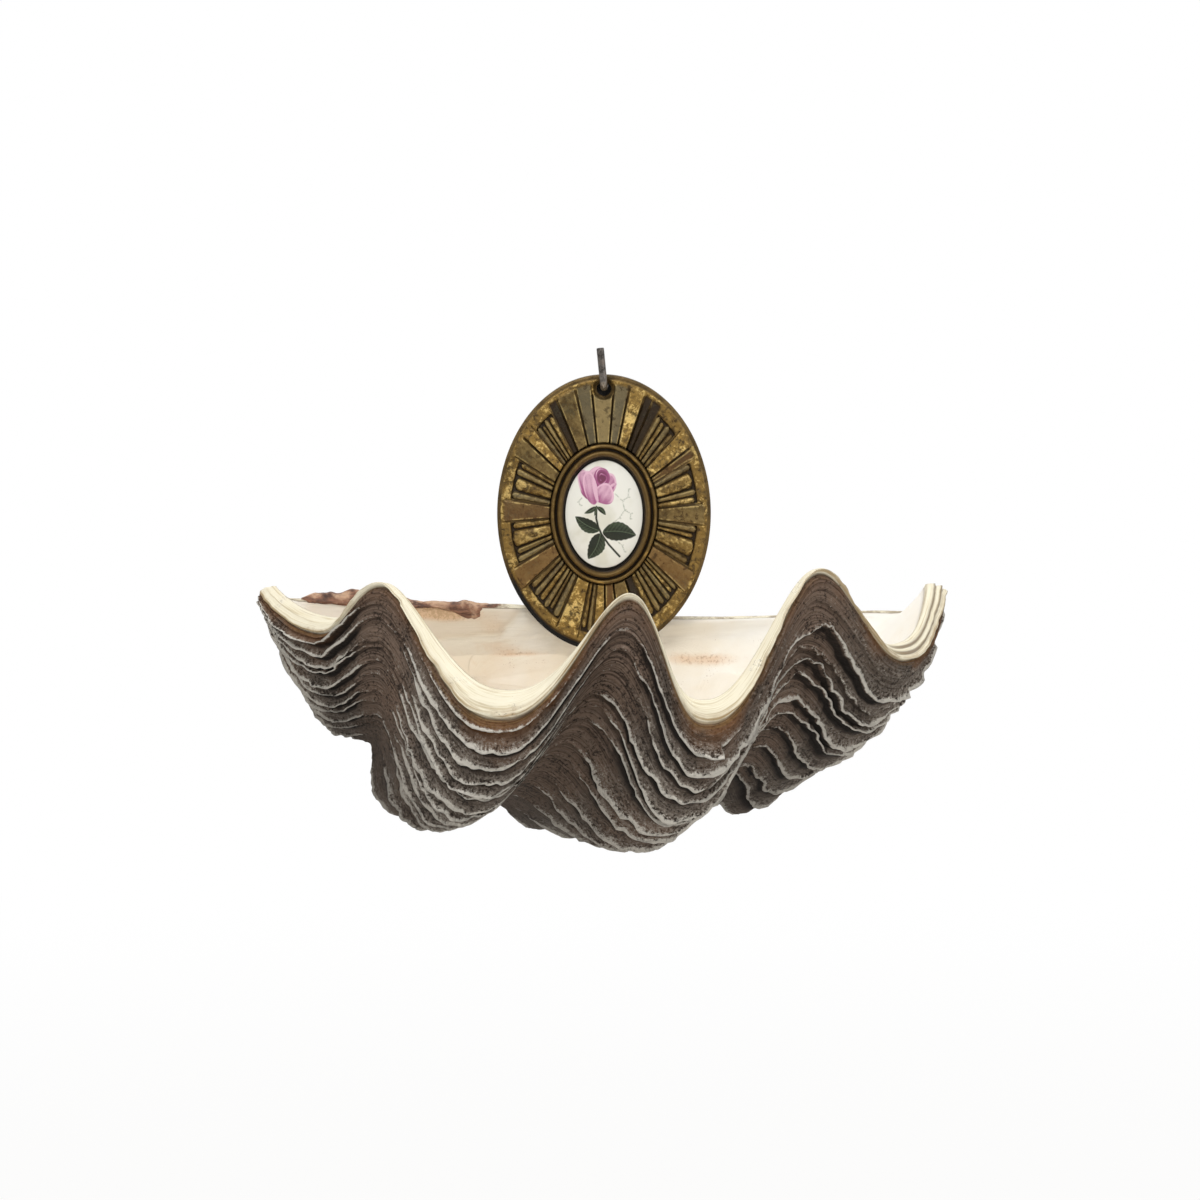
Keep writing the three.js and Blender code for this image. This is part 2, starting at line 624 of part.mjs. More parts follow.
add('flat_washer', toGeometry(ring(washer.diameter, washerFrom, washer.thickness)), '#8a8a86', 0.35, 0.95);
add('fixing_nut', toGeometry(hexNut(0, boltZ, nutFrom)), '#8a8a86', 0.35, 0.95);
add('wall_hook', hookBody(), '#4a4744', 0.4, 0.95);

export default group;
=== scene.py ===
import math
from itertools import product
import bpy
import bmesh
import numpy as np
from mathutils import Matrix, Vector


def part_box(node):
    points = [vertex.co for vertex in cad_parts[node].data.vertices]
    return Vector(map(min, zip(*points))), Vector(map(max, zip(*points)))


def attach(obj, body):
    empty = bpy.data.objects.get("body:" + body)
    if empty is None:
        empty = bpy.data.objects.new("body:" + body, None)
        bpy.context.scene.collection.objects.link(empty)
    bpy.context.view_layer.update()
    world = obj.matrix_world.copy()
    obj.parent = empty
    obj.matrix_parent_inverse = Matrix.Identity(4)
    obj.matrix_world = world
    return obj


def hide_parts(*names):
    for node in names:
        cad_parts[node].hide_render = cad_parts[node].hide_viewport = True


# Holy water font: a clam shell basin under a brass sunburst medallion. Shapes are worked out in
# millimetres, in the frame's axes, and go to metres where a piece is made.

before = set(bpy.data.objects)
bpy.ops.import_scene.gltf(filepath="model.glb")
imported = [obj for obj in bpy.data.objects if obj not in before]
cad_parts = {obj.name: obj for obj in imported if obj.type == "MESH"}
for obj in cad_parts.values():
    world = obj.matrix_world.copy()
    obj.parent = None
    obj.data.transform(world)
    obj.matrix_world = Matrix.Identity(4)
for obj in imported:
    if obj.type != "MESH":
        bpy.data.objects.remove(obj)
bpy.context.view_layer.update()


class Solid:
    # the box of one of the frame's solids, in millimetres
    def __init__(self, node):
        self.low, self.high = (np.array(corner) * 1000 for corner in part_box(node))
        self.middle, self.half = (self.low + self.high) / 2, (self.high - self.low) / 2


plate, bolt, cabochon, bezel = (Solid(n) for n in ("sunburst_plate", "fixing_bolt", "cabochon", "bezel_ring"))
screws = [Solid(f"back_screw_{k}") for k in (1, 2, 3, 4)]
screwPlaces = [(s.middle[0], s.middle[2]) for s in screws]
plateZ, plateBack, boltZ = plate.middle[2], plate.high[1], bolt.middle[2]
plateHalf, cabHalf = plate.half[[0, 2]], cabochon.half[[0, 2]]
plain = (0, 0)  # the values at a tube's two tips of a mark that is nothing there


def hexColour(code):
    # a colour as it looks, "rrggbb", turned into the linear values that the nodes want
    parts = [int(code[i:i + 2], 16) / 255 for i in (0, 2, 4)]
    return tuple(p / 12.92 if p < 0.04045 else ((p + 0.055) / 1.055) ** 2.4 for p in parts) + (1.0,)


class Wire:
    # a value on its way through a material: a sum on it adds its Math nodes
    def __init__(self, finish, socket):
        self.finish, self.socket = finish, socket

    def maths(self, operation, *values):
        return self.finish.node("ShaderNodeMath", {"operation": operation}, values)

    def __add__(self, other):
        return self.maths("ADD", self, other)

    def __sub__(self, other):
        return self.maths("SUBTRACT", self, other)

    def __rsub__(self, other):
        return self.maths("SUBTRACT", other, self)

    def __mul__(self, other):
        return self.maths("MULTIPLY", self, other)

    __radd__, __rmul__ = __add__, __mul__


class Finish:
    # one material and its nodes, or those of another owner of nodes
    def __init__(self, name, owner=None):
        self.material = owner or bpy.data.materials.new(name)
        self.material.use_nodes = True
        self.tree = self.material.node_tree
        self.tree.nodes.clear()

    def node(self, kind, settings=None, inputs=(), output=0):
        node = self.tree.nodes.new(kind)
        for key, value in (settings or {}).items():
            setattr(node, key, value)
        for key, value in (inputs.items() if isinstance(inputs, dict) else enumerate(inputs)):
            if isinstance(value, Wire):
                self.tree.links.new(value.socket, node.inputs[key])
            else:
                node.inputs[key].default_value = value
        return Wire(self, node.outputs[output])

    def marks(self, *names):
        return [self.node("ShaderNodeAttribute", {"attribute_name": name}, output=2) for name in names]

    def place(self):
        return self.node("ShaderNodeTexCoord", output=3)

    def vectorMath(self, operation, *inputs, output=0):
        return self.node("ShaderNodeVectorMath", {"operation": operation}, inputs, output)

    def noise(self, vector, scale, detail=3.0, roughness=0.55, distortion=0.0):
        return self.node("ShaderNodeTexNoise", inputs={"Vector": vector, "Scale": scale, "Detail": detail,
                         "Roughness": roughness, "Distortion": distortion})

    def cells(self, vector, scale):
        return self.node("ShaderNodeTexVoronoi", inputs={"Vector": vector, "Scale": scale})

    def step(self, value, low, high, atLow=0.0, atHigh=1.0):
        return self.node("ShaderNodeMapRange", {"interpolation_type": "SMOOTHSTEP"},
                         (value, low, high, atLow, atHigh))

    def fall(self, value, low, high):
        return self.step(value, low, high, 1.0, 0.0)

    def lay(self, colour, *coats):
        # coats of (colour, share) over a colour: each is "rrggbb" or the result of another lay
        for coat, share in coats:
            first, second = (hexColour(c) if isinstance(c, str) else c for c in (colour, coat))
            values = {0: share, 6: first, 7: second}
            colour = self.node("ShaderNodeMix", {"data_type": "RGBA"}, values, output=2)
        return colour

    def bump(self, height, distance, strength):
        values = {"Height": height, "Distance": distance, "Strength": strength}
        return self.node("ShaderNodeBump", inputs=values)

    def done(self, colour, roughness, normal, others=None):
        inputs = {"Base Color": colour, "Roughness": roughness, "Normal": normal, **(others or {})}
        return self.surface(self.node("ShaderNodeBsdfPrincipled", inputs=inputs))

    def surface(self, shader, kind="ShaderNodeOutputMaterial"):
        self.tree.links.new(shader.socket, self.tree.nodes.new(kind).inputs[0])
        return self.material


# Camera, stage and light

view = {"aim": (-1.18, -28.0, -62.6), "distance": 1100.0, "rise": math.radians(8.0), "lens": 112.0}
studio = {"floorZ": -0.42, "floorHalf": 6.0, "pale": "f1efeb", "ambient": 0.7, "lampAim": (0, -0.04, -0.07)}
lamps = {  # place, size, power
    "keyLight": ((-0.3, -0.75, 1.0), 0.45, 6.2),
    "fillLight": ((0.9, -0.8, 0.25), 0.9, 2.2),
    "topLight": ((0.1, 0.2, 0.9), 0.6, 2.4),
}


def addAimed(name, data, at, way):
    # a camera or a lamp that looks along way
    thing = bpy.data.objects.new(name, data)
    thing.location, thing.rotation_euler = at, way.to_track_quat("-Z", "Y").to_euler()
    bpy.context.collection.objects.link(thing)
    return thing


def placeCamera():
    data = bpy.data.cameras.new("camera")
    data.lens, data.sensor_width = view["lens"], 36.0
    back = Vector((0, -math.cos(view["rise"]), math.sin(view["rise"])))
    at = Vector(view["aim"]) / 1000 + back * view["distance"] / 1000
    bpy.context.scene.camera = addAimed("camera", data, at, -back)


def placeLamps():
    for name, (at, size, power) in lamps.items():
        data = bpy.data.lights.new(name, "AREA")
        data.shape, data.size, data.energy = "DISK", size, power
        addAimed(name, data, at, Vector(studio["lampAim"]) - Vector(at))


def makeStage():
    f = Finish("paperFloor")
    paper = f.node("ShaderNodeEmission", inputs={"Color": (1, 1, 1, 1), "Strength": 1.0})
    matte = f.node("ShaderNodeBsdfDiffuse", inputs={"Color": hexColour(studio["pale"])})
    seen = f.node("ShaderNodeLightPath", output="Is Camera Ray")
    share = seen * f.step(f.vectorMath("LENGTH", f.place(), output=1), 0.45, 1.3, 0.8, 1.0)
    f.surface(f.node("ShaderNodeMixShader", inputs=(share, matte, paper)))
    size, low = studio["floorHalf"], studio["floorZ"]
    mesh = bpy.data.meshes.new("studioFloor")
    corners = [(-size, -size, low), (size, -size, low), (size, size, low), (-size, size, low)]
    mesh.from_pydata(corners, [], [(0, 1, 2, 3)])
    mesh.materials.append(f.material)
    floor = bpy.data.objects.new("studioFloor", mesh)
    bpy.context.collection.objects.link(floor)

    world = bpy.context.scene.world = bpy.data.worlds.new("studioWorld")
    air = Finish("air", world)
    camera, glossy, through = (air.node("ShaderNodeLightPath", output=name) for name in
                               ("Is Camera Ray", "Is Glossy Ray", "Is Transmission Ray"))
    shown = camera.maths("MINIMUM", camera + glossy + through, 1.0)
    strength = studio["ambient"] + shown * (1.0 - studio["ambient"])
    light = air.node("ShaderNodeBackground", inputs={"Color": (1, 1, 1, 1), "Strength": strength})
    air.surface(light, "ShaderNodeOutputWorld")


bpy.context.scene.view_settings.view_transform = "Standard"
placeCamera()
placeLamps()
makeStage()
print("stage, camera and lamps are set")


# Tools for making pieces

def smoothstep(value, low, high):
    share = np.clip((value - low) / (high - low), 0, 1)
    return share * share * (3 - 2 * share)


def lerp(first, second, share):
    return first + (second - first) * share


def softNoise(x, y, seed):
    # smooth noise from -1 to 1 over a plane, about one hill to a unit
    table = np.random.RandomState(seed).uniform(-1, 1, (64, 64))
    x, y = np.broadcast_arrays(np.asarray(x, float), np.asarray(y, float))
    column, row = np.floor(x).astype(int), np.floor(y).astype(int)
    u, v = x - column, y - row
    u, v = u * u * (3 - 2 * u), v * v * (3 - 2 * v)
    a, b, c, d = (table[(row + down) % 64, (column + right) % 64] for down in (0, 1) for right in (0, 1))
    return lerp(lerp(a, b, u), lerp(c, d, u), v)


def circle(sides):
    return np.linspace(0, 2 * math.pi, sides, endpoint=False)


def ring(half, y, sides, x=0.0, z=plateZ):
    # points round an oval, clockwise from the top
    angle = circle(sides)
    return np.stack([x + half[0] * np.sin(angle), np.full(sides, y), z + half[1] * np.cos(angle)], -1)


def makeMesh(name, points, faces, marks=None, smooth=True):
    mesh = bpy.data.meshes.new(name)
    mesh.from_pydata((np.asarray(points, float) / 1000).tolist(), [], faces)
    for key, values in (marks or {}).items():
        layer = mesh.attributes.new(key, "FLOAT", "POINT")
        layer.data.foreach_set("value", np.asarray(values, np.float32).ravel())
    work = bmesh.new()
    work.from_mesh(mesh)
    bmesh.ops.recalc_face_normals(work, faces=work.faces)
    work.to_mesh(mesh)
    work.free()
    if smooth:
        mesh.shade_smooth()
    piece = bpy.data.objects.new(name, mesh)
    bpy.context.collection.objects.link(piece)
    return piece


def makeTube(name, rings, tips=(), marks=None):
    # rings of points, each joined to the next; the ends close on two tips, or else on each other.
    # a mark has values for the rings and for the tips
    rings = np.array(rings)
    rows, columns = rings.shape[:2]
    total = rows * columns
    here = np.arange(total).reshape(rows, columns)
    after = np.roll(here, -1, 1)
    faces = np.stack([here[:-1], after[:-1], after[1:], here[1:]], -1).reshape(-1, 4).tolist()
    if len(tips):
        for tip, row in ((total, 0), (total + 1, -1)):
            faces += np.stack([np.full(columns, tip), here[row], after[row]], -1).tolist()
    else:
        faces += np.stack([here[-1], after[-1], after[0], here[0]], -1).tolist()
    points = np.concatenate([rings.reshape(-1, 3), np.reshape(tips, (-1, 3))])
    marks = {key: np.concatenate([np.broadcast_to(values, (rows, columns)).ravel(), ends[:len(tips)]])
             for key, (values, ends) in (marks or {}).items()}
    return makeMesh(name, points, faces, marks)


def turned(name, profile, x=0.0, z=0.0, sides=72, wear=None):
    # a closed profile of (radius, y) turned about an axis along Y, with the wear at each of its points
    rings, tips, ends = [ring((radius, radius), y, sides, x, z) for radius, y in profile], (), plain
    if profile[0][0] == 0:  # it closes on the axis
        rings, tips = rings[1:-1], [(x, profile[end][1], z) for end in (0, -1)]
        if wear:
            wear, ends = wear[1:-1], (wear[0], wear[-1])
    marks = {"high": (np.array(wear, float)[:, None], ends)} if wear else None
    return makeTube(name, rings, tips, marks)


def rod(x, z, radius, low, high, sides=72, name="rod"):
    return turned(name, [(0, low), (radius, low), (radius, high), (0, high)], x, z, sides)


def carve(piece, tools, operation="DIFFERENCE"):
    for tool in tools:
        change = piece.modifiers.new("carve", "BOOLEAN")
        change.operation, change.object, change.solver = operation, tool, "MANIFOLD"
    graph = bpy.context.evaluated_depsgraph_get()
    piece.data = bpy.data.meshes.new_from_object(piece.evaluated_get(graph))
    piece.modifiers.clear()
    for tool in tools:
        bpy.data.objects.remove(tool)
    return piece


def settle(piece, material, node, body="font"):
    piece.data.materials.clear()
    piece.data.materials.append(material)
    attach(piece, body)
    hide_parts(node)


# Shell basin: the lip and its growth about the hinge, as in the solid, with the old lips in full

shell = {
    "boltBelowRim": 6.4, "behindPlate": 9.0, "hingeX": -66.0, "beakDrop": 16.0, "growth": 0.88,
    "narrowing": 0.62, "depth": 1.14, "steepness": math.radians(15), "keel": math.radians(50),
    "keelSharpness": 2.5, "foldPower": 1.25, "foldLeft": 0.25, "foldLeftAt": 120.0, "innerFold": 0.62,
    "innerFoldAt": 45.0, "wall": 7.3, "wallToRight": 0.0201, "wallFrom": 9.0, "bevel": 0.75, "bevelTo": 6.0,
    "focusX": 2.0, "focusY": -40.0, "focusRise": 1.2, "innerEnd": 122.0, "outerEnd": 180.0,
    "frontStep": 1.15, "backStep": 2.6,
    "crevice": 0.8, "lowWarp": 1.4, "fineWarp": 0.75, "chip": 0.45,
    "tipLayers": (0.33, 0.65), "floorRounds": 14,
    # what is ground flat or bored for the bolt: radius, from and to along Y
    "boltHole": (2.25, -60, 20), "innerFlat": (7, -34, -18.8), "outerFlat": (7, -12.8, 4),
}
shellHinge = np.array([shell["hingeX"], plateBack + shell["behindPlate"], boltZ + shell["boltBelowRim"]])

# lip and back rim, clockwise from above: x, y from the hinge, z from the rim, x and z at the keel,
# how far old lips stand out, width of the pale lip
shellOutline = np.array([
    (-101, -20, 8.4, -88, -14, 0.6, 5), (-84, -46, 0.6, -76, -34, 1, 5.5), (-63, -65, 17, -66, -34, 0.3, 2.5),
    (-30, -100, -15, -51, -57, 1, 6.5), (7, -94, 18, -30, -49, 0.3, 2.5), (29, -106, -15, -2, -62, 1, 5),
    (60, -80, 23, 28, -44, 0.3, 2.5), (88, -54, -6, 40, -52, 1, 5), (100, -22, 9, 66, -18, 0.6, 6),
    (87, -3, 0, 44, -8, 0, 4), (30, -2, -2, -1, -8, 0, 5), (-35, -2, 2, -43, -8, 0, 6),
    (-89, -4, 4, -80, -8, 0, 5)], float)
frontPoints = 8  # outline points from the left tip on that belong to the lip

# growth stops: angle back from the lip, how far that old lip stands proud, and on each of the four
# ribs, from the left, its share of that and its shift in angle
growthStops = [
    (1.7, 0.9, (0.1, 1, 0.1, 0), (0, 0.6, 0, 0)), (4.4, 2, (1.2, 1.1, 1.5, 0.1), (-0.9, 1, 0, 0)),
    (8.4, 2.3, (1, 0.7, 1.2, 1.3), (-2.2, 0, -0.6, 0.4)), (10.9, 1.6, (1, 1, 0.5, 0.3), (-1.4, 0.3, 0, 0)),
    (13.3, 2.1, (0.8, 1.2, 1.1, 1.3), (-0.4, 0, 0.6, 0.5)),
    (16.3, 2, (1.2, 0.7, 1.2, 1), (0, -0.7, 0.5, -0.6)),
    (19.4, 2.2, (0.7, 1.1, 0.8, 1.2), (0, 0.3, -0.6, 0.8)),
    (23, 2.1, (1.1, 1.2, 1.3, 0.7), (0.4, -0.6, 0.7, 0)), (27, 2, (1, 0.8, 0.9, 1.2), (0, 0.8, -0.7, 0.5)),
    (31.5, 2.1, (1.1, 1.2, 1.2, 1), (0.5, 0, 0.8, -0.5)), (37, 1.9, (1, 1, 0.9, 1.1), (0, -1, 0, 1)),
    (44, 2, (1, 1.1, 1, 1), (0.8, 0, -1, 0)), (53, 1.7, (1, 1, 1, 1), (0, 1, 0, -1)),
    (63, 1.4, (1, 1, 1, 1), (0, 0, 0, 0)),
]
ribX = (-82, -36, 32, 87)
# old growth that bulges or falls back outside: x, and y and z from the hinge, push in x and z, size
bulges = [(-60, -22, -49, -7.5, -0.5, 15), (41, -19, -53, 0, -5.5, 11), (61, -30, -47, 0, 3, 9),
          (-23, -20, -58, -1, -3.5, 10)]
grooveX, grooveStrength = (-66, 7, 60), (0.26, 0.3, 0.95)
# tea-brown stains on the inside: x, height in the view, half width and height, depth of colour
stains = [(-33, -74, 5, 3.5, 0.5), (-23, -84.5, 8, 3.4, 0.9), (-30, -81, 5, 3, 0.4), (-47, -70, 10, 2.2, 1.3),
          (29, -83.5, 14, 2.2, 0.8), (-58, -69, 8, 2, 0.6)]
brokenFlap = {"stop": 1, "from": 20.0, "to": 31.5, "stand": 1.5, "past": 0.1}
# the hinge plate on the left of the back wall ends inside in a low step, along this line of x and z
ledgeLine = [-92, -60, -51, -31, -24.6, -22], [-74, -77, -76.3, -74.2, -65.5, -60]


def lipColumns():
    # a smooth line through the outline's points, whose height swings from peak to valley
    count = len(shellOutline)
    curved = shellOutline[:, [0, 1, 3]]
    rows = []
    for i in range(count):
        start, end = shellOutline[i], shellOutline[(i + 1) % count]
        step = shell["frontStep"] if i < frontPoints else shell["backStep"]
        steps = max(3, round(float(np.linalg.norm((end - start)[:3])) / step))
        share = np.arange(steps) / steps
        here, after = curved[i], curved[(i + 1) % count]
        leave, arrive = (after - curved[i - 1]) / 2, (curved[(i + 2) % count] - here) / 2
        t = share[:, None]
        place = (here + t * leave + t ** 3 * (2 * (here - after) + (leave + arrive))
                 + t ** 2 * (3 * (after - here) - 2 * leave - arrive))
        rising = start[2] < end[2]
        wave = (1 - np.cos(math.pi * (share if rising else 1 - share) ** shell["foldPower"])) / 2
        mix = wave if rising else 1 - wave
        rest = [lerp(start[k], end[k], mix) for k in (2, 4, 5, 6)]
        rows.append(np.column_stack([place[:, 0], place[:, 1], rest[0], place[:, 2], *rest[1:]]))
    table = np.concatenate(rows)
    table = np.roll(table, len(rows[-1]) + len(rows[-2]) + len(rows[-3]) // 2, axis=0)
    column = dict(zip(("lipX", "y", "z", "keelX", "keelZ", "flare", "band"), table.T))
    lengths = np.linalg.norm(np.roll(table[:, :3], -1, axis=0) - table[:, :3], axis=1)
    column["along"] = np.concatenate([[0], np.cumsum(lengths)[:-1]])
    column["x"] = column["lipX"] - shell["hingeX"]
    column["keelX"] = column["keelX"] - shell["hingeX"]
    return column


lip = lipColumns()


def grown(angle, fold):
    turns = angle * angle / (angle + shell["steepness"])
    size, narrow = np.exp(-shell["growth"] * turns), np.exp(-shell["narrowing"] * turns)
    cosine, sine = np.cos(angle), np.sin(angle)
    y = size * (lip["y"] * cosine - fold * lip["z"] * sine)
    z = size * (shell["depth"] * lip["y"] * sine + fold * lip["z"] * cosine) - shell["beakDrop"] * (1 - size)
    return np.stack([lip["x"] * narrow, y, z], -1)


def foldLeft(degrees):
    return lerp(1, shell["foldLeft"], smoothstep(degrees, 0, shell["foldLeftAt"]))


def shellSurface(degrees, fold):
    degrees = np.broadcast_to(degrees, np.broadcast_shapes(np.shape(degrees), lip["x"].shape))
    angle = np.radians(degrees)
    place = grown(angle, fold)
    keel = shell["keel"]
    atKeel = grown(np.full_like(lip["x"], keel), foldLeft(math.degrees(keel)))
    share = angle / keel
    swell = share ** shell["keelSharpness"] * np.exp(shell["keelSharpness"] * (1 - share))
    for k, name in ((0, "keelX"), (2, "keelZ")):
        place[..., k] += (lip[name] - atKeel[..., k]) * swell
    return place + shellHinge


def inwards(place):
    way = np.stack([shell["focusX"] - place[..., 0], shellHinge[1] + shell["focusY"] - place[..., 1],
                    shell["focusRise"] * (shellHinge[2] - place[..., 2])], -1)
    return way / np.linalg.norm(way, axis=-1, keepdims=True)


def outerPlace(degrees, proud):
    place = shellSurface(degrees, foldLeft(degrees))
    for x, y, z, pushX, pushZ, size in bulges:
        away = place - np.array([x, shellHinge[1] + y, shellHinge[2] + z])
        place = place + np.exp(-(away ** 2).sum(-1) / size ** 2)[..., None] * np.array([pushX, 0, pushZ])
    return place - inwards(place) * np.asarray(proud)[..., None]


def innerPlace(degrees, lift=0.0):
    fold = foldLeft(degrees) * lerp(1, shell["innerFold"], smoothstep(degrees, 0, shell["innerFoldAt"]))
    place = shellSurface(degrees, fold)
    wall = shell["wall"] + shell["wallToRight"] * place[..., 0]
    thickness = lerp(lip["band"], wall, 1 - np.exp(-degrees / shell["wallFrom"])) + lift
    place = place + inwards(place) * thickness[..., None]
    place[..., 2] += shell["bevel"] * lip["band"] * lip["flare"] * np.exp(-degrees / shell["bevelTo"])
    return place


def outerRings():
    # rows of (degrees, proud, edge, crevice) from just under the lip to the beak. The crevice column is
    # painted shade under the lip and under each old lip that stands out; the edge column is each ledge's pale
    # broken edge with painted light on its face towards it
    s, across = lip["along"], lip["lipX"]
    onRib = smoothstep(lip["flare"], 0.33, 0.8)
    groove = np.interp(across, grooveX, grooveStrength)
    strong = lerp(0.15, onRib + (1 - onRib) * groove, smoothstep(lip["flare"], 0.0, 0.35))
    rough = 0.3 + 0.7 * smoothstep(lip["flare"], 0, 0.5)
    rows = []

    def row(degrees, proud, edge=0.0, crevice=0.0):
        rows.append([np.broadcast_to(v, s.shape).astype(float) for v in (degrees, proud, edge, crevice)])

    # painted shade under the lip's overhang
    row(0.2, -0.7, 0.0, 0.5)
    row(0.45, -0.95, 0.0, 1.0)
    last, above = np.full_like(s, 0.6), np.full_like(s, 0.7)  # above: how far the lip before stands out, which sets how deep the painted shade under it is
    for k, (at, proud, ribs, shifts) in enumerate(growthStops):
        warp = shell["lowWarp"] * softNoise(s / 38, k * 7.3, 11)
        warp = warp + shell["fineWarp"] * softNoise(s / 9, k * 5.1, 12)
        warp = (warp + shell["chip"] * softNoise(s / 2.3, k * 3.7, 13)) * min(1, at / 9)
        stop = np.maximum(at + warp + np.interp(across, ribX, shifts), last + 0.5)
        uneven = 1 + 0.4 * softNoise(s / 22, k * 9.1, 14) + 0.25 * softNoise(s / 4, k, 15)
        stand = proud * strong * np.interp(across, ribX, ribs) * uneven
        pale = 0.0
        if k == brokenFlap["stop"]:
            start, end = brokenFlap["from"], brokenFlap["to"]
            flap = smoothstep(across, start - 9, start)
            stand = stand * lerp(1, brokenFlap["stand"], flap)
            stand = stand * lerp(1, brokenFlap["past"], smoothstep(across, end, end + 0.9))
            # painted light: the flap's face, which stands out, is made paler towards its broken edge
            pale = 0.7 * flap * (across < end)
        broken = np.clip(softNoise(s / 3.1, k * 4.3 + 40, 17) * 1.6 - 0.5, 0, 1)  # bites out of the edge
        stand = stand * (1 - 0.45 * broken) + 0.3 * np.abs(softNoise(s / 1.7, k * 2.9, 16)) * strong
        deep = -0.95 if k == 0 else 0.0
        for part in (0.0, 0.12, 0.27, 0.43, 0.58, 0.72, 0.84, 0.94):
            degrees = last + (stop - last) * part
            grain = 0.2 * softNoise(s / 2.1, degrees * 1.1, 21)
            grain = grain + 0.2 * softNoise(s / 7, degrees * 0.6 + 9, 22)
            lines = 0.15 * np.sin(degrees * 5.2 + 1.5 * softNoise(s / 20, degrees / 9, 23))
            rise = 0.12 * part + 0.88 * part ** 2.2
            # edge: the ledge's pale edge with painted light on its face; crevice: painted shade just under
            # the ledge above
            row(degrees, deep * (1 - part) + stand * rise + (grain + lines) * rough * min(1, at / 4),
                np.maximum(part ** 3 * np.clip(stand, 0, 1), pale * part), above * max(0.0, 1 - part / 0.5))
        above = np.clip(stand / 1.3, 0.25, 1)
        row(stop, stand + 0.05, np.clip(stand, 0, 1))
        row(stop + 0.2, stand * 0.9 - 0.1, 0.8 * np.clip(stand, 0, 1))
        # painted shade in the undercut under this ledge
        row(stop + 0.15, stand * 0.45 - 0.2, 0.0, 0.3 + 0.7 * above)
        row(stop + 0.3, -0.55 * np.minimum(1, stand + 0.2), 0.0, 0.2 + 0.8 * above)
        last = stop + shell["crevice"]
    for degrees in np.concatenate([np.arange(64.8, 100, 2.2), np.arange(101, 178, 5.0)]):
        worn = 0.5 * np.sin(degrees * 0.9 + 2 * softNoise(s / 30, degrees / 12, 24))
        worn = worn * np.exp(-(degrees - 64) / 60)
        grain = 0.3 * softNoise(s / 5, degrees * 0.5, 25) + 0.35 * softNoise(s / 14, degrees / 5, 26)
        calm = smoothstep(178.0, degrees, degrees + 20) if degrees > 160 else 1.0
        # painted shade in the low parts between the worn ridges
        row(np.maximum(degrees, last), (worn * (0.3 + 0.7 * lip["flare"]) + grain) * calm, 0.0,
            0.35 * smoothstep(-worn, 0.15, 0.5))
    return [np.array(part) for part in zip(*rows)]


def hingeLedge(place):
    x, z = place[..., 0], place[..., 2]
    return smoothstep(z - np.interp(x, *ledgeLine), -0.2, 0.5) * smoothstep(x, -94, -88) * (x < -22)


def lipBand(across, rim, inner, tip):
    # the lip's own face, from the rim to the inside, with its fine ridges; the tip is three curled layers
    s = lip["along"]
    upward = np.array([0, 0, 1.0]) - inwards(rim)
    upward = upward / np.linalg.norm(upward, axis=-1, keepdims=True)
    first, second = shell["tipLayers"]
    band = []
    for share in across:
        arch = math.sin(math.pi * share)
        swell = 0.13 * lip["band"] * arch ** 0.6
        ridges = 0.16 * np.sin(share * 16 + 2.5 * softNoise(s / 25, share * 2, 33)) * arch
        ridges = ridges + 0.12 * softNoise(s / 5, share * 4, 36) * arch
        layers = 0.9 * tip * (1.0 * (share > first) + 0.9 * (share > second) - 1.9 * share)
        band.append(lerp(rim, inner, share) + upward * (swell + ridges + layers)[:, None])
    return np.array(band)


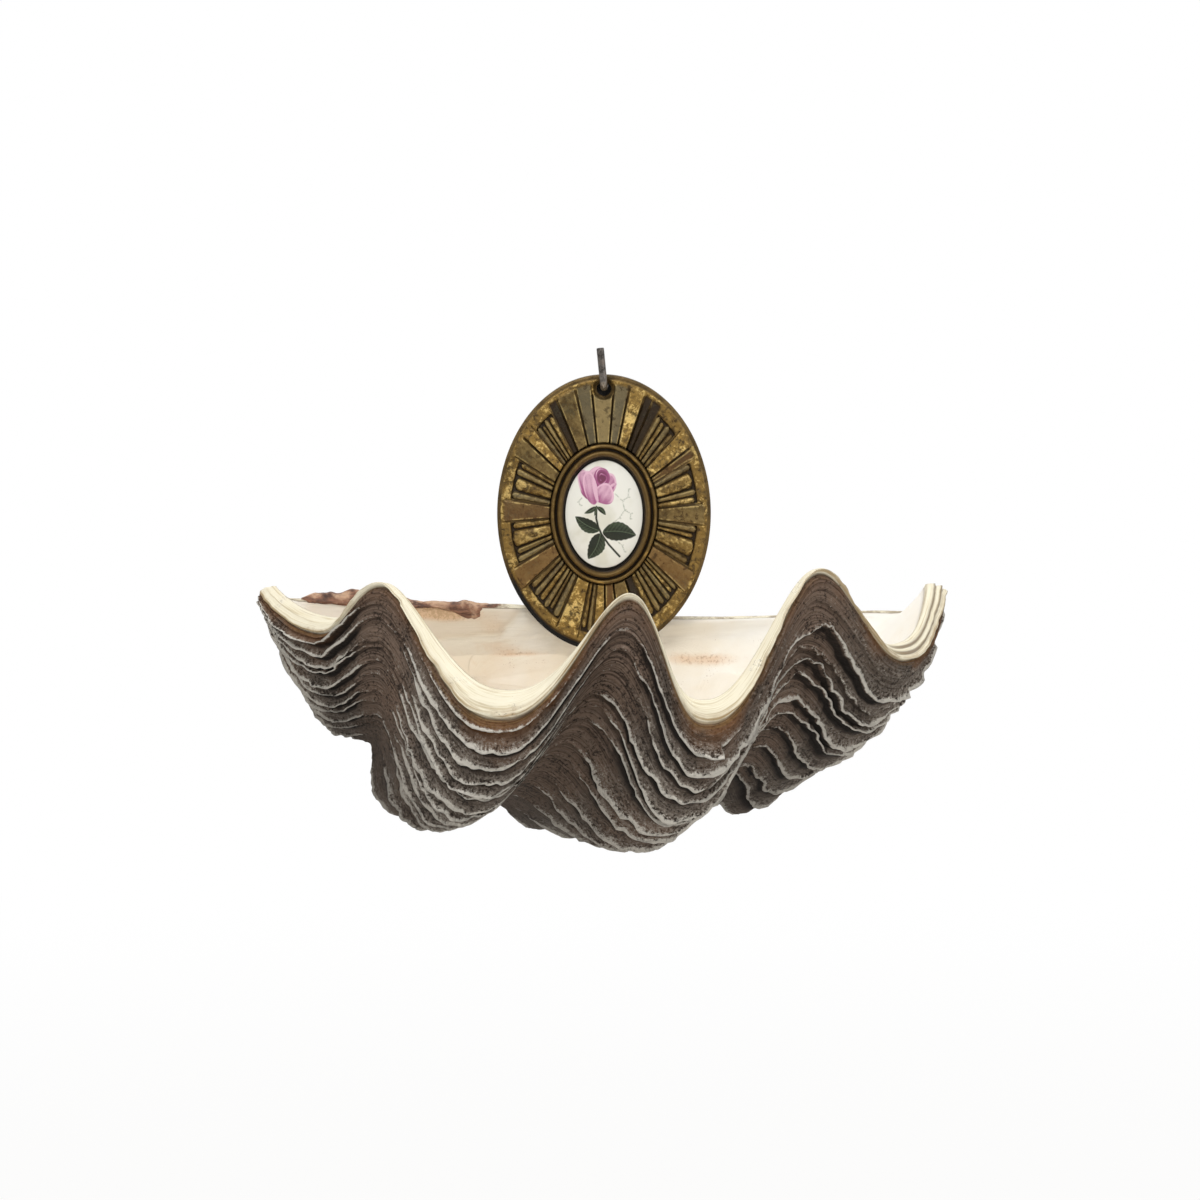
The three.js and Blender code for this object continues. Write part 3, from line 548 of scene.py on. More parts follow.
def makeShell():
    s, count = lip["along"], len(lip["along"])
    degrees, proud, edge, crevice = outerRings()
    outside = outerPlace(degrees, proud)
    nick = 0.75 * softNoise(s / 7, 3.3, 31) + 0.3 * softNoise(s / 2.3, 8.8, 32)
    nick = nick - 1.3 * np.clip(softNoise(s / 4.5, 21.7, 35) * 2 - 1.0, 0, 1)
    rim = outerPlace(np.zeros(count), nick * (0.35 + 0.65 * (lip["flare"] > 0.05)))
    across = np.array([0.0, 0.08, 0.2, 0.3, 0.36, 0.5, 0.62, 0.68, 0.84, 0.96])
    tip = smoothstep(lip["lipX"], 76, 88) * (lip["flare"] > 0.1)
    band = lipBand(across, rim, innerPlace(np.zeros(count)), tip)

    inDegrees = [0.0, 0.8, 1.8, 3, 4.4, 6, 8, 10.3, 13, 16, 19.5, 23, 27, 31.5, 36.5, 42, 48, 54.5, 62, 70,
                 80, 91, 103, 113, shell["innerEnd"]]
    inDegrees = np.array(inDegrees)[:, None] + 0 * s
    lift = 0.16 * softNoise(s / 16, inDegrees / 7, 34) * smoothstep(inDegrees, 0, 6)
    ledge = hingeLedge(innerPlace(inDegrees)) * (lip["flare"] < 0.2)
    inside = innerPlace(inDegrees, lift + 1.1 * ledge)
    centre = inside[-1].mean(0)
    floor = np.array([lerp(inside[-1], centre, t) for t in (0.22, 0.45, 0.68, 0.86)])
    roundRings = 7  # the floor meets the back wall in a soft round
    low = np.concatenate([inside[-roundRings:], floor, np.broadcast_to(centre, (1, count, 3))])
    for _ in range(shell["floorRounds"]):
        middle = low[1:-1]
        around = (low[:-2] + low[2:] + np.roll(middle, 1, 1) + np.roll(middle, -1, 1)) / 4
        low[1:-1] = lerp(middle, around, 0.6)
    inside[-roundRings:], floor = low[:roundRings], low[roundRings:-1]
    beak = shellHinge - np.array([0, 0, shell["beakDrop"]])
    parts = floor, inside, band, outside

    def spread(*values, ends=plain):
        # values for the floor, the inside, the lip and the outside, in the order of the rings
        laid = [np.broadcast_to(v, part.shape[:2]) for v, part in zip(values, parts)]
        return np.concatenate([v[::-1] for v in laid[:3]] + laid[3:]), ends

    bandShare = across[:, None] + 0 * s
    seen = inside @ np.array([0, math.sin(view["rise"]), math.cos(view["rise"])])
    tinted = sum(depth * np.exp(-((inside[..., 0] - x) / wide) ** 2 - ((seen - high) / tall) ** 2)
                 for x, high, wide, tall, depth in stains) * smoothstep(inside[..., 1], -50, -35)
    toLayer = np.minimum(*(abs(bandShare - layer) for layer in shell["tipLayers"]))
    inEnd, outEnd = shell["innerEnd"], shell["outerEnd"]
    marks = {
        "inside": spread(1, smoothstep(inDegrees, 0.0, 1.2), 0, 0, ends=(1, 0)),
        "lip": spread(0, 1 - smoothstep(inDegrees, 0.2, 2.6), 1, 1 - smoothstep(degrees, 0.2, 0.9)),
        "edge": spread(0, 0, 0, edge),
        # painted shade under the lip and the old lips, and at the beak
        "crevice": spread(0, 0, 0, crevice, ends=(0, 0.4)),
        "growth": spread(inEnd, inDegrees, bandShare * 3, degrees, ends=(inEnd, outEnd)),
        "along": spread(s, s, s, s),
        "ledge": spread(0, ledge, 2 * tip * np.exp(-(toLayer / 0.04) ** 2), 0),
        "stain": spread(0, tinted, 0, 0),
        "rib": spread(*[lip["flare"]] * 4),
    }
    rings = np.concatenate([floor[::-1], inside[::-1], band[::-1], outside])
    piece = makeTube("shellBasin", rings, [centre, beak], marks)
    carve(piece, [rod(0, boltZ, *shell[tool]) for tool in ("boltHole", "innerFlat", "outerFlat")])
    print("shell:", count, "columns,", len(rings), "rings,", len(piece.data.polygons), "faces")
    return piece


def shellFinish():
    f = Finish("clamShell")
    place = f.place()
    inside, lipMark, edge, crevice = f.marks("inside", "lip", "edge", "crevice")
    growth, along, ledge, rib, stain = f.marks("growth", "along", "ledge", "rib", "stain")

    def laid(alongScale, growthScale, seed, *look):
        # noise that runs with the growth lines
        where = f.node("ShaderNodeCombineXYZ", inputs=(along * alongScale, growth * growthScale, seed))
        return f.noise(where, *look)

    lines = laid(0.02, 1.1, 0.0, 1.6, 4.0, 0.6, 0.3)
    fineLines = laid(0.05, 4.0, 2.0, 1.3, 3.0, 0.6, 0.2)
    arches = laid(0.012, 1.5, 4.0, 2.0, 4.0, 0.6, 0.4)
    rimLines = laid(0.03, 3.0, 5.0, 2.2, 3.0, 0.6, 0.2)
    streaks = laid(0.012, 0.9, 9.0, 2.0, 4.0, 0.65, 0.5)
    broad = f.noise(place, 28.0, 4.0, 0.6, 0.4)
    patch = f.noise(place, 110.0, 5.0, 0.65, 0.3)
    grit = f.noise(place, 1150.0, 4.0, 0.75)
    specks = f.noise(place, 2100.0, 2.0, 0.6)
    pits = f.cells(place, 330.0)
    patchy, gritty = patch - 0.5, grit - 0.5

    groove = f.fall(rib, 0.35, 0.75)
    # dusty grit, more on the lit ledge edges and less in the shaded crevices: grit with painted light
    dustAndPaintedLight = f.step(grit + patchy * 0.5 + edge * 0.18 - groove * 0.1 - crevice * 0.12, 0.54, 0.63)
    dark = f.fall(grit + patchy * 0.4, 0.37, 0.45)
    # worn: the ledges' pale broken edges, with painted light on their faces towards them
    worn = f.step(edge + patchy * 1.2 + gritty * 0.9 - groove * 0.22, 0.5, 0.76)
    tea = f.fall(growth, 0.5, 5.0) * f.step(broad + patch * 0.5, 0.62, 0.85)
    under = f.fall(growth, 0.3, 2.1)
    outside = f.lay(
        "83786d", ("5c5147", f.step(lines, 0.38, 0.62)), ("8c705c", f.step(broad, 0.48, 0.68) * 0.55),
        ("8a7260", groove * 0.65), ("33271f", f.step(fineLines, 0.52, 0.66) * 0.6),
        # painted shade in the crevices
        ("3f3127", f.step(crevice, 0.0, 0.75) * 0.65), ("9a8272", groove * f.step(arches, 0.52, 0.62) * 0.55),
        # dusty grit, and paler specks towards the ledge edges, partly painted light
        ("382a22", groove * f.fall(arches, 0.38, 0.48) * 0.65), ("a2978b", dustAndPaintedLight * 0.66),
        ("e8e2d6", f.step(specks + edge * 0.12, 0.61, 0.71) * dustAndPaintedLight * 0.65), ("1f1711", dark * 0.8),
        ("150e0a", f.fall(pits, 0.06, 0.17) * f.step(patch, 0.48, 0.58) * 0.85),
        # darker on the older growth towards the beak: painted shade on the lower shell, with the old growth's
        # own grey
        ("3a322b", f.step(growth, 10.0, 55.0) * 0.68),
        # deep painted shade in the crevices, less in the grooves
        ("150f0b", f.step(crevice + gritty * 0.4 - groove * 0.2, 0.45, 0.95) * 0.92),
        # pale worn edges with painted light on them, less on the older growth
        ("ece6da", worn * f.step(growth, 7.0, 45.0, 0.92, 0.34)),
        ("855528", tea * (0.75 - groove * 0.4) * (1.0 - worn)),
        ("67452a", under * (0.8 - groove * 0.5) * (1.0 - worn * 0.7)),
        ("b8945f", under * f.step(fineLines, 0.45, 0.6) * (0.7 - groove * 0.4)),
        ("2b1d12", under * f.step(patch, 0.52, 0.64) * 0.6), ("17110c", 0.14))

    outermost, backRim = f.fall(growth, 0.1, 1.1), f.fall(rib, 0.0, 0.06)
    cream = f.lay(
        "ece4cc", ("cfbf96", f.step(rimLines, 0.5, 0.68) * 0.65), ("f5f0e0", f.step(patch, 0.55, 0.75) * 0.6),
        ("ab9465", f.step(streaks, 0.53, 0.66) * 0.5),
        ("94743f", outermost * f.step(streaks + patchy * 0.4, 0.4, 0.58) * 0.7),
        ("a8844f", f.step(broad + patchy * 0.6, 0.6, 0.78) * f.step(growth, 0.0, 1.2, 0.6, 0.15)),
        ("4a3722", f.step(grit + patchy, 0.68, 0.82) * 0.55), ("6a4d2c", f.step(ledge, 0.3, 1.4) * 0.85),
        ("8f7a60", backRim * f.step(patch + gritty * 0.5, 0.4, 0.58) * 0.75))

    freckles = f.step(grit + stain * 0.16, 0.62, 0.72)
    within = f.lay(
        "f8efdf", ("fefaf1", f.step(broad, 0.35, 0.6)),
        ("e2bd90", f.step(f.noise(place, 42.0, 5.0, 0.7, 0.6), 0.6, 0.78) * 0.3),
        ("f3dcc6", f.step(f.noise(place, 17.0, 3.0, 0.6), 0.5, 0.7) * 0.4),
        ("dfa86c", f.step(stain + patchy * 0.6, 0.15, 1.0) * 0.62),
        ("a87c50", freckles * f.step(stain + patchy * 0.5, 0.1, 0.8) * 0.5),
        ("8a5f3c", f.step(specks + patchy * 0.8, 0.72, 0.85) * 0.5), ("cdb08c", ledge * 0.3))

    colour = f.lay(outside, (cream, lipMark), (within, inside * (1.0 - lipMark)))
    coarse = 1.0 - inside.maths("MAXIMUM", inside, lipMark)
    height = (grit + patch * 1.6 + fineLines * 1.1 - dark * 0.35) * coarse + rimLines * 0.25 + patch * 0.15
    return f.done(colour, 0.45 + coarse * 0.42, f.bump(height, 0.0008, 0.9), {"Specular IOR Level": 0.22})


settle(makeShell(), shellFinish(), "shell_basin")


# Medallion: a cast brass sunburst on an oval plate

medallion = {
    "base": 2.4, "rimHeight": 0.9, "rimFrom": 0.962, "rayEnd": 0.952, "shortEnd": 0.875, "finEnd": 0.868,
    "ground": 1.05, "panelFloor": 0.3, "band": 1.3, "finHeight": 1.5, "seam": 0.16, "turns": 960, "rows": 86,
    "pit": 1.75, "recess": 3.3, "clear": 0.3, "hookHole": 1.28, "wireHole": 1.14, "boltHole": 2.25,
    "screwHole": 0.95, "paintedHoleShade": 2.05,
}
bezelForm = {"reach": 3.3, "lip": 0.75, "steps": 200, "screwHole": 0.82, "screwDepth": 0.9}
plateFront = plateBack - medallion["base"]
hookHoleZ = 2 * plateZ - boltZ

# rays: clockwise from the top in degrees of the oval: from, to, height, tone, tilt across the ray
broadRays = [
    (-7, 5.5, 1.7, "tan", 0.0), (6, 14.5, 1.3, "grey", -0.9), (15, 24, 1.8, "gold", 0.4),
    (24.5, 29, 1.1, "dark", 0.9), (29.5, 34.5, 0.9, "dark", -0.7), (50, 59, 1.6, "gold", 0.3),
    (59.5, 64.5, 0.9, "red", -0.8), (85.5, 95, 1.7, "brown", 0.1), (116.5, 127, 1.7, "orange", 0.1),
    (150.5, 157, 1.1, "dark", 0.7), (157.5, 170, 1.7, "brown", 0.0), (170.5, 179, 1.4, "orange", 0.5),
    (179.5, 187, 1.6, "gold", 0.2), (195.5, 208.5, 1.8, "gold", 0.2), (234.5, 245, 1.7, "orange", -0.2),
    (266.5, 276.5, 1.7, "red", 0.1), (296.5, 306, 1.7, "brown", 0.2), (306.5, 313, 1.3, "gold", -0.8),
    (326.5, 331.5, 1.0, "dark", 0.8), (332, 343, 1.7, "brown", 0.2), (343.5, 352.5, 1.3, "grey", 0.9),
]
shortRays = -7, 170.5, 179.5  # where those begin that end early
# panels of fins: from, to, and the shares of the width that their fins take
finPanels = [
    (35, 49.5, (3, 3, 4, 3)), (65, 85, (3, 7, 3, 3)), (95.5, 116, (3, 2, 7, 3)),
    (127.5, 150, (2, 2, 3, 3, 3, 3)), (187.5, 195, (1, 1)), (209, 234, (4, 2, 3, 3, 3, 3)),
    (245.5, 266, (3, 3, 7, 3)), (277, 296, (3, 5, 3, 2)), (313.5, 326, (3, 2, 3, 3)),
]
# marks of the brass: tones, of which brown is where there are no others, then height and bright edges. The
# bright edges are wear with a painted highlight on it; dark is patina in the hollows and painted shade in the
# hook hole and along the rim's lower left
toneNames = "gold", "tan", "grey", "red", "orange", "dark", "high", "edge"


def fade(tones, share, names=toneNames):
    for name in names:
        tones[name] = tones[name] * (1 - share)


def paint(tones, name, share):
    if name in tones:
        tones[name] = np.maximum(tones[name], share)


def fromMiddle(turn, middle):
    # degrees from the middle of a ray, from -180 to 180
    return (turn - middle + 180) % 360 - 180


def reliefAt(turn, share):
    # height of the relief, and where each tone lies
    degree = math.radians(1) * sum(plateHalf) / 2 * share
    height = lerp(medallion["ground"], medallion["band"], smoothstep(share, 0.83, 0.9))
    tones = {name: np.zeros_like(share) for name in toneNames}
    tones["gold"] = 0.75 * smoothstep(share, 0.84, 0.9)
    for start, end, top, tone, tilt in broadRays:
        half, reach = (end - start) / 2, medallion["shortEnd" if start in shortRays else "rayEnd"]
        offset = fromMiddle(turn, (start + end) / 2)
        side = (half - np.abs(offset)) * degree
        within = smoothstep(reach - share, -0.004, 0.03)
        body = smoothstep(side, 0.0, 0.3) * within
        height = lerp(height, top * (1 + tilt * offset / half * 0.3), body)
        seam = (1 - smoothstep(np.abs(side), 0.0, medallion["seam"] * 2)) * within * (share < 0.93)
        height = height - 0.45 * seam
        fade(tones, body)
        paint(tones, tone, body)
        paint(tones, "dark", seam * 0.8)
        # a bright line along each ray's edges: wear, with a painted highlight on it
        paint(tones, "edge", np.exp(-((side - 0.42) / 0.17) ** 2) * within * (tone != "dark"))
    for start, end, widths in finPanels:
        side = ((end - start) / 2 - np.abs(fromMiddle(turn, (start + end) / 2))) * degree
        panel = smoothstep(side, -0.05, 0.3) * smoothstep(medallion["finEnd"] + 0.014 - share, 0.0, 0.014)
        height = lerp(height, medallion["panelFloor"], panel)
        fade(tones, panel)
        paint(tones, "dark", panel)
        total, at = sum(widths), start
        for i, part in enumerate(widths):
            pitch = (end - start) * part / total
            middle, half = at + pitch / 2, pitch / 2 * (0.8 + 0.02 * part)
            at += pitch
            offset = fromMiddle(turn, middle)
            reach = medallion["finEnd"] - 0.016 * (i % 2) - 0.006 * (part < 3)
            cap = np.clip((share - reach + 0.03) / 0.03, 0, 1)
            room = np.sqrt(np.clip(1 - cap ** 2, 0, 1)) * (share < reach)
            across = np.clip(np.abs(offset) / (half * np.maximum(room, 0.02)), 0, 1)
            dome = np.clip(1 - across ** 3.2, 0, 1) ** 0.6 * (room > 0)
            lean = 1 + 0.1 * np.clip(offset / half, -1, 1) * (1 if i % 2 else -1)
            fin = medallion["finHeight"] * dome * lean * (0.88 + 0.14 * (part > 4))
            height = np.maximum(height, fin)
            fade(tones, smoothstep(dome, 0.15, 0.6), ["dark"])
            fade(tones, dome >= 0.1, ["edge"])
            # a bright line along each fin's shoulders: wear, with a painted highlight on it
            paint(tones, "edge", 0.8 * np.exp(-((dome - 0.86) / 0.12) ** 2) * (dome > 0.3))
            tone = ("gold", "grey", "brown", "tan")[(i + int(start)) % 4] if part < 5 else "gold"
            paint(tones, tone, 0.6 * dome)
    rim = smoothstep(share, medallion["rimFrom"], medallion["rimFrom"] + 0.01)
    rimRound = np.sqrt(np.clip(1 - ((share - 0.98) / 0.024) ** 2, 0, 1))
    height = lerp(height, medallion["rimHeight"] * rimRound, rim)
    fade(tones, rim, ["gold"])
    below = smoothstep(turn, 180, 190) * (1 - smoothstep(turn, 235, 250))  # painted shadow: the rim is darkened along its lower left, where its edge lies in shade
    paint(tones, "dark", rim * 0.35 + below * smoothstep(share, 0.93, 0.965))
    return height, tones


def makeMedallion():
    turns, angle = medallion["turns"], circle(medallion["turns"])
    opening = cabHalf + medallion["clear"]
    share = np.linspace(0.14, 0.972, medallion["rows"])
    share = np.concatenate([[0, 0.1], share, [0.979, 0.985, 0.991, 0.996, 1]])[:, None]
    x = lerp(opening[0], plateHalf[0], share) * np.sin(angle)
    z = lerp(opening[1], plateHalf[1], share) * np.cos(angle)
    turn = np.degrees(np.arctan2(x / plateHalf[0], z / plateHalf[1])) % 360
    reach = np.hypot(x / plateHalf[0], z / plateHalf[1])
    height, tones = reliefAt(turn, reach)
    cast = 0.05 * softNoise(x / 0.8, z / 0.8, 41) + 0.06 * softNoise(x / 3.5, z / 3.5, 42)
    cast = cast * (1 + 1.5 * tones["gold"])
    height = height * (1 + 0.05 * softNoise(x / 6, z / 6, 43)) + cast * smoothstep(1 - reach, 0, 0.02)
    setting = np.hypot(x / (cabHalf[0] + bezelForm["reach"]), z / (cabHalf[1] + bezelForm["reach"]))
    height = height * smoothstep(setting, 1.0, 1.025)
    for holeZ, deep in ((hookHoleZ, -1.1), (boltZ, -0.15)):
        away = np.hypot(x, z - (holeZ - plateZ))
        recess = 1 - smoothstep(away, medallion["recess"] - 0.9, medallion["recess"] + 0.2)
        pit = 1 - smoothstep(away, medallion["pit"], medallion["pit"] + 0.45)
        height = lerp(lerp(height, 0.1, recess), deep, pit)
        fade(tones, 0.5 * recess, ["dark"])
        paint(tones, "dark", np.maximum(pit, recess * 0.45))
        fade(tones, recess, ["gold", "tan", "grey"])
    tones["high"] = np.clip(height / 1.8, 0, 1)
    front = np.stack([x, plateFront - height, z + plateZ], -1)
    behind = [ring(lerp(opening, plateHalf, part), plateBack - before, turns)
              for part, before in ((1.0, 1.6), (1.0, 0.4), (0.985, 0), (0.6, 0), (0.0, 0))]
    bare = np.zeros((len(behind), turns))
    marks = {name: (np.concatenate([tone, bare]), plain) for name, tone in tones.items()}
    piece = makeTube("sunburstMedallion", np.concatenate([front, behind]), (), marks)
    # x, z, size in front and behind
    holes = [(0, 0.0, "hookHole", "wireHole"), (0, boltZ, "boltHole", "boltHole")]
    holes += [(*place, "screwHole", "screwHole") for place in screwPlaces]
    tools = []
    for x, z, *sizes in holes:
        wide, narrow = (medallion[size] for size in sizes)
        course = [(0, -8), (wide, -8), (wide, 0.9), (narrow, 1.1), (narrow, 7.4), (0, 7.4)]
        tools.append(turned("bore", [(radius, plateFront + deep) for radius, deep in course], x, z, 48))
    carve(piece, tools)
    # painted shade: the hook hole's bore between the faces is made black and matt
    paintedHoleShade = piece.data.attributes["dark"].data
    for vertex in piece.data.vertices:
        x, y, z = (v * 1000 for v in vertex.co)
        inHole = math.hypot(x, z - hookHoleZ) < medallion["paintedHoleShade"]
        if inHole and plateBack - 0.1 > y > plateFront + 0.25:
            paintedHoleShade[vertex.index].value = 1.6
    print("medallion:", len(piece.data.polygons), "faces")
    return piece


def castBrass():
    f = Finish("castBrass")
    place = f.place()
    gold, tan, grey, red, orange, dark, high, edge = f.marks(*toneNames)
    broad = f.noise(place, 130.0, 4.0, 0.6)
    mottle = f.noise(place, 620.0, 5.0, 0.7, 0.4)
    grain = f.noise(place, 2100.0, 3.0, 0.65)
    broadly, mottled, uneven = broad - 0.5, mottle - 0.5, mottle + (broad - 0.5) * 0.7
    # black: the hook hole's bore and the rim's lower left, painted shade there, and a little of the darkest
    # patina in the fin panels and pits
    black = f.step(dark, 0.85, 1.3)
    colour = f.lay(
        "6c5732", ("4c3a1c", f.step(broad, 0.42, 0.62)), ("8f7a4c", f.step(high + mottled, 0.75, 1.15) * 0.6),
        ("95835a", tan * 0.7), ("736d57", grey * 0.55), ("65472d", red * 0.55), ("7d5a33", orange * 0.5),
        ("947538", gold * f.step(mottle, 0.34, 0.56) * 0.8),
        ("e6c67c", gold * f.step(uneven, 0.53, 0.66) * 0.88), ("2c1d0d", f.fall(uneven, 0.3, 0.42) * 0.6),
        # dark brown patina in the hollows, which also carries the painted shade of the hook hole and the
        # rim's lower left
        ("2a1c0d", f.step(dark + mottled * 0.4, 0.2, 0.9) * 0.85),
        # bright edges: wear with a painted highlight
        ("cdb374", edge * f.step(mottle + broadly * 0.8, 0.44, 0.6) * 0.7),
        ("5d5a44", f.step(grain + broadly, 0.56, 0.75) * 0.3), ("0a0705", black))
    normal = f.bump(mottle * 0.8 + grain * 0.4, 0.0003, 0.75)
    return f.done(colour, 0.36 + mottle * 0.22 + black * 0.5, normal, {"Metallic": 0.7 - black * 0.7})


settle(makeMedallion(), castBrass(), "sunburst_plate")


# Setting: bezel and porcelain; the back plate and card that close it from behind are made with the hardware
# below

def makeBezel():
    foot, outer, lipOut = bezel.high[1], bezelForm["reach"], -bezelForm["lip"]
    top, groove = foot - bezel.low[1], foot - cabEdge + 0.3
    # outwards, height from the foot, share of wear; from the outer foot over the mouldings to the inner edge
    course = [(outer, 0, 0.1), (outer, 1.1, 0.2)]
    course += [(outer - 0.7 + 0.7 * math.cos(a), 1.2 + 0.95 * math.sin(a), 0.45 + 0.55 * math.sin(a))
               for a in np.linspace(0.15, math.pi * 0.9, 10)]
    course += [(outer - 1.45, 1.35, 0.0), (outer - 1.65, 1.3, 0.0), (outer - 1.85, 1.4, 0.0)]
    course += [(outer - 2.75 + 0.85 * math.cos(a), 1.5 + (top - 1.5) * math.sin(a), 0.3 + 0.6 * math.sin(a))
               for a in np.linspace(0.1, math.pi * 0.8, 12)]
    course += [(lipOut + 0.3, 2.0, 0.15), (lipOut + 0.05, 1.85, 0.05), (lipOut, 1.7, 0.0),
               (lipOut, groove, 0.0), (0.3, groove, 0.0), (0.3, 0, 0.0)]
    rings = [ring(cabHalf + out, foot - up, bezelForm["steps"]) for out, up, wear in course]
    wear = np.array([c[2] for c in course])[:, None]
    piece = makeTube("bezelRing", rings, (), {"high": (wear, plain)})
    return carve(piece, [rod(x, z, bezelForm["screwHole"], foot - bezelForm["screwDepth"], foot + 3, 32)
                         for x, z in screwPlaces])


def darkBrass():
    f = Finish("darkBrass")
    place = f.place()
    high, = f.marks("high")
    broad = f.noise(place, 110.0, 3.0, 0.6)
    mottle = f.noise(place, 560.0, 5.0, 0.7, 0.3)
    mottled = mottle - 0.5
    colour = f.lay("20160b", ("5f4a26", f.step(high + mottled * 0.5, 0.1, 0.8)),
                   ("7d6636", f.step(high + mottled, 0.8, 1.2) * 0.8),
                   ("a98747", f.step(high + mottled + (broad - 0.5) * 1.2, 1.05, 1.3) * 0.8))
    return f.done(colour, 0.32 + mottle * 0.2, f.bump(mottle, 0.00025, 0.7), {"Metallic": 0.7})


porcelain = {"edge": 1.8, "domeWidth": 1.06, "flatEdge": 1.1, "steps": 440, "rows": 96}
cabFront, cabBack = cabochon.low[1], cabochon.high[1]
cabEdge = cabBack - porcelain["edge"]
flank = 1 - porcelain["flatEdge"] / cabHalf[0]  # where the dome ends, as a share of the oval

# the painted rose, from the middle of the porcelain: petals and leaves from the back one to the front one
rose = {
    "middle": (0.5, -0.3),
    "petals": [  # x, z, half width, half height, turn, dark share at the heart
        (-2.6, 9.2, 4.6, 5.2, 0, 0.75), (-5.6, 9.3, 2.5, 4.8, 20, 0.95), (0.5, 9.3, 2.7, 3.5, -30, 0.95),
        (2.2, 9.0, 1.4, 0.55, 24, 0.4)],
    "fronts": [(-0.5, 6.5, 3.2, 3.2, -30, 0.65), (-4.5, 8.4, 2.1, 5.3, 12, 0.6),
               (-3.1, 7.4, 0.6, 4.4, 12, 0.1)],
    "heart": (-1.1, 11.1, 2.5, 3.1, 1.15),  # x, z, half width, half height, millimetres to a turn
    "leaves": [  # from x, z to x, z, half width
        (-2.7, 2.6, -6.4, 0.6, 0.8), (-2.5, 2.6, 0.1, 0.1, 0.8), (-2.7, 2.8, -3.4, -0.2, 0.5),
        (-1.8, -4.5, -9.0, -0.3, 2.0), (-0.9, -4.9, 9.0, -5.9, 2.8), (-1.5, -5.3, -5.2, -13.0, 2.4)],
    "stem": [(-2.7, 2.6), (-2.8, -0.8), (-2.2, -3.4), (-1.2, -5.6), (0.9, -8.6), (4.1, -12.2)],
    "tendrils": [[(2.8, 6.4), (4.9, 4.4), (5.6, 1.6), (4.0, -0.8), (2.4, -2.0)],
                 [(4.9, 4.4), (6.6, 5.4), (6.8, 7.8)], [(5.6, 1.6), (7.4, 0.6), (7.2, -1.0)],
                 [(-7.0, 5.2), (-8.2, 4.0), (-7.4, 3.0)], [(2.6, -7.0), (4.8, -8.8), (5.6, -10.8)]],
    "stemWidth": 0.3, "tendrilWidth": 0.13, "soft": 0.16,
}


def nearLine(x, z, points):
    best = np.full_like(x, 99.0)
    for (ax, az), (bx, bz) in zip(points, points[1:]):
        wide, high = bx - ax, bz - az
        along = np.clip(((x - ax) * wide + (z - az) * high) / (wide ** 2 + high ** 2), 0, 1)
        best = np.minimum(best, np.hypot(x - lerp(ax, bx, along), z - lerp(az, bz, along)))
    return best


def paintTendrils(x, z):
    grey, width = np.zeros_like(x), rose["tendrilWidth"]
    for line in rose["tendrils"]:
        grey = np.maximum(grey, 1 - smoothstep(nearLine(x, z, line), width - 0.08, width + rose["soft"]))
        for px, pz in line[1:]:
            bud = 1 - smoothstep(np.hypot(x - px - 0.3, (z - pz) * 1.4), 0.2, 0.5)
            grey = np.maximum(grey, 0.8 * bud)
    return grey


def paintLeaves(x, z):
    # where the green lies, and how light it is
    width, soft = rose["stemWidth"], rose["soft"]
    green = 1 - smoothstep(nearLine(x, z, rose["stem"]), width - soft / 2, width + soft / 2)
    leafy = np.zeros_like(x)
    for ax, az, bx, bz, half in rose["leaves"]:
        length = math.hypot(bx - ax, bz - az)
        ux, uz = (bx - ax) / length, (bz - az) / length
        along = ((x - ax) * ux + (z - az) * uz) / length
        side = (z - az) * ux - (x - ax) * uz
        bend = side - 0.25 * half * np.sin(math.pi * np.clip(along, 0, 1))
        teeth = 1 + 0.14 * np.abs(((along * 7) % 1) - 0.5) * (half > 1)
        width = half * np.sin(math.pi * np.clip(along, 0, 1) ** 0.8) ** 0.75 * teeth
        leaf = smoothstep(width - np.abs(bend), 0.0, soft) * (along > 0) * (along < 1)
        vein = 1 - smoothstep(np.abs(bend), 0.05, 0.18)
        ribs = 0.5 + 0.5 * np.cos((along * 9 - np.abs(bend) / half * 1.6) * 2 * math.pi)
        light = 0.12 * ribs * (bend > 0) + 0.4 * vein + 0.14 * smoothstep(bend / half, 0.1, 0.8)
        green = np.maximum(green, leaf)
        leafy = lerp(leafy, light, leaf)
    return green, leafy


def layPetals(layers, x, z, petals):
    for cx, cz, wide, high, turn, heart in petals:
        c, s = math.cos(math.radians(turn)), math.sin(math.radians(turn))
        u, v = ((x - cx) * c + (z - cz) * s) / wide, ((z - cz) * c - (x - cx) * s) / high
        away = np.hypot(u * (1 + 0.22 * v), v) * (1 + 0.05 * np.sin(3 * np.arctan2(u, v) + cx))
        petal = smoothstep(1 - away, 0.0, rose["soft"] / min(wide, high) * 1.2)
        rim = smoothstep(away, 0.72, 0.86) * smoothstep(v, -0.9, 0.2)
        shade = heart * (0.3 + 0.55 * smoothstep(-v, -0.2, 1.0) + 0.35 * u ** 2)
        shade = np.clip(shade * (1 - 0.9 * rim) + 0.1 * softNoise(u * 5, v * 1.2 + cx, 56), 0, 1)
        line = smoothstep(away, 0.93, 1.0) * 0.5
        paint(layers, "pink", petal)
        layers["rosy"] = lerp(layers["rosy"], np.clip(shade + line, 0, 1), petal)
        fade(layers, petal, ["green"])


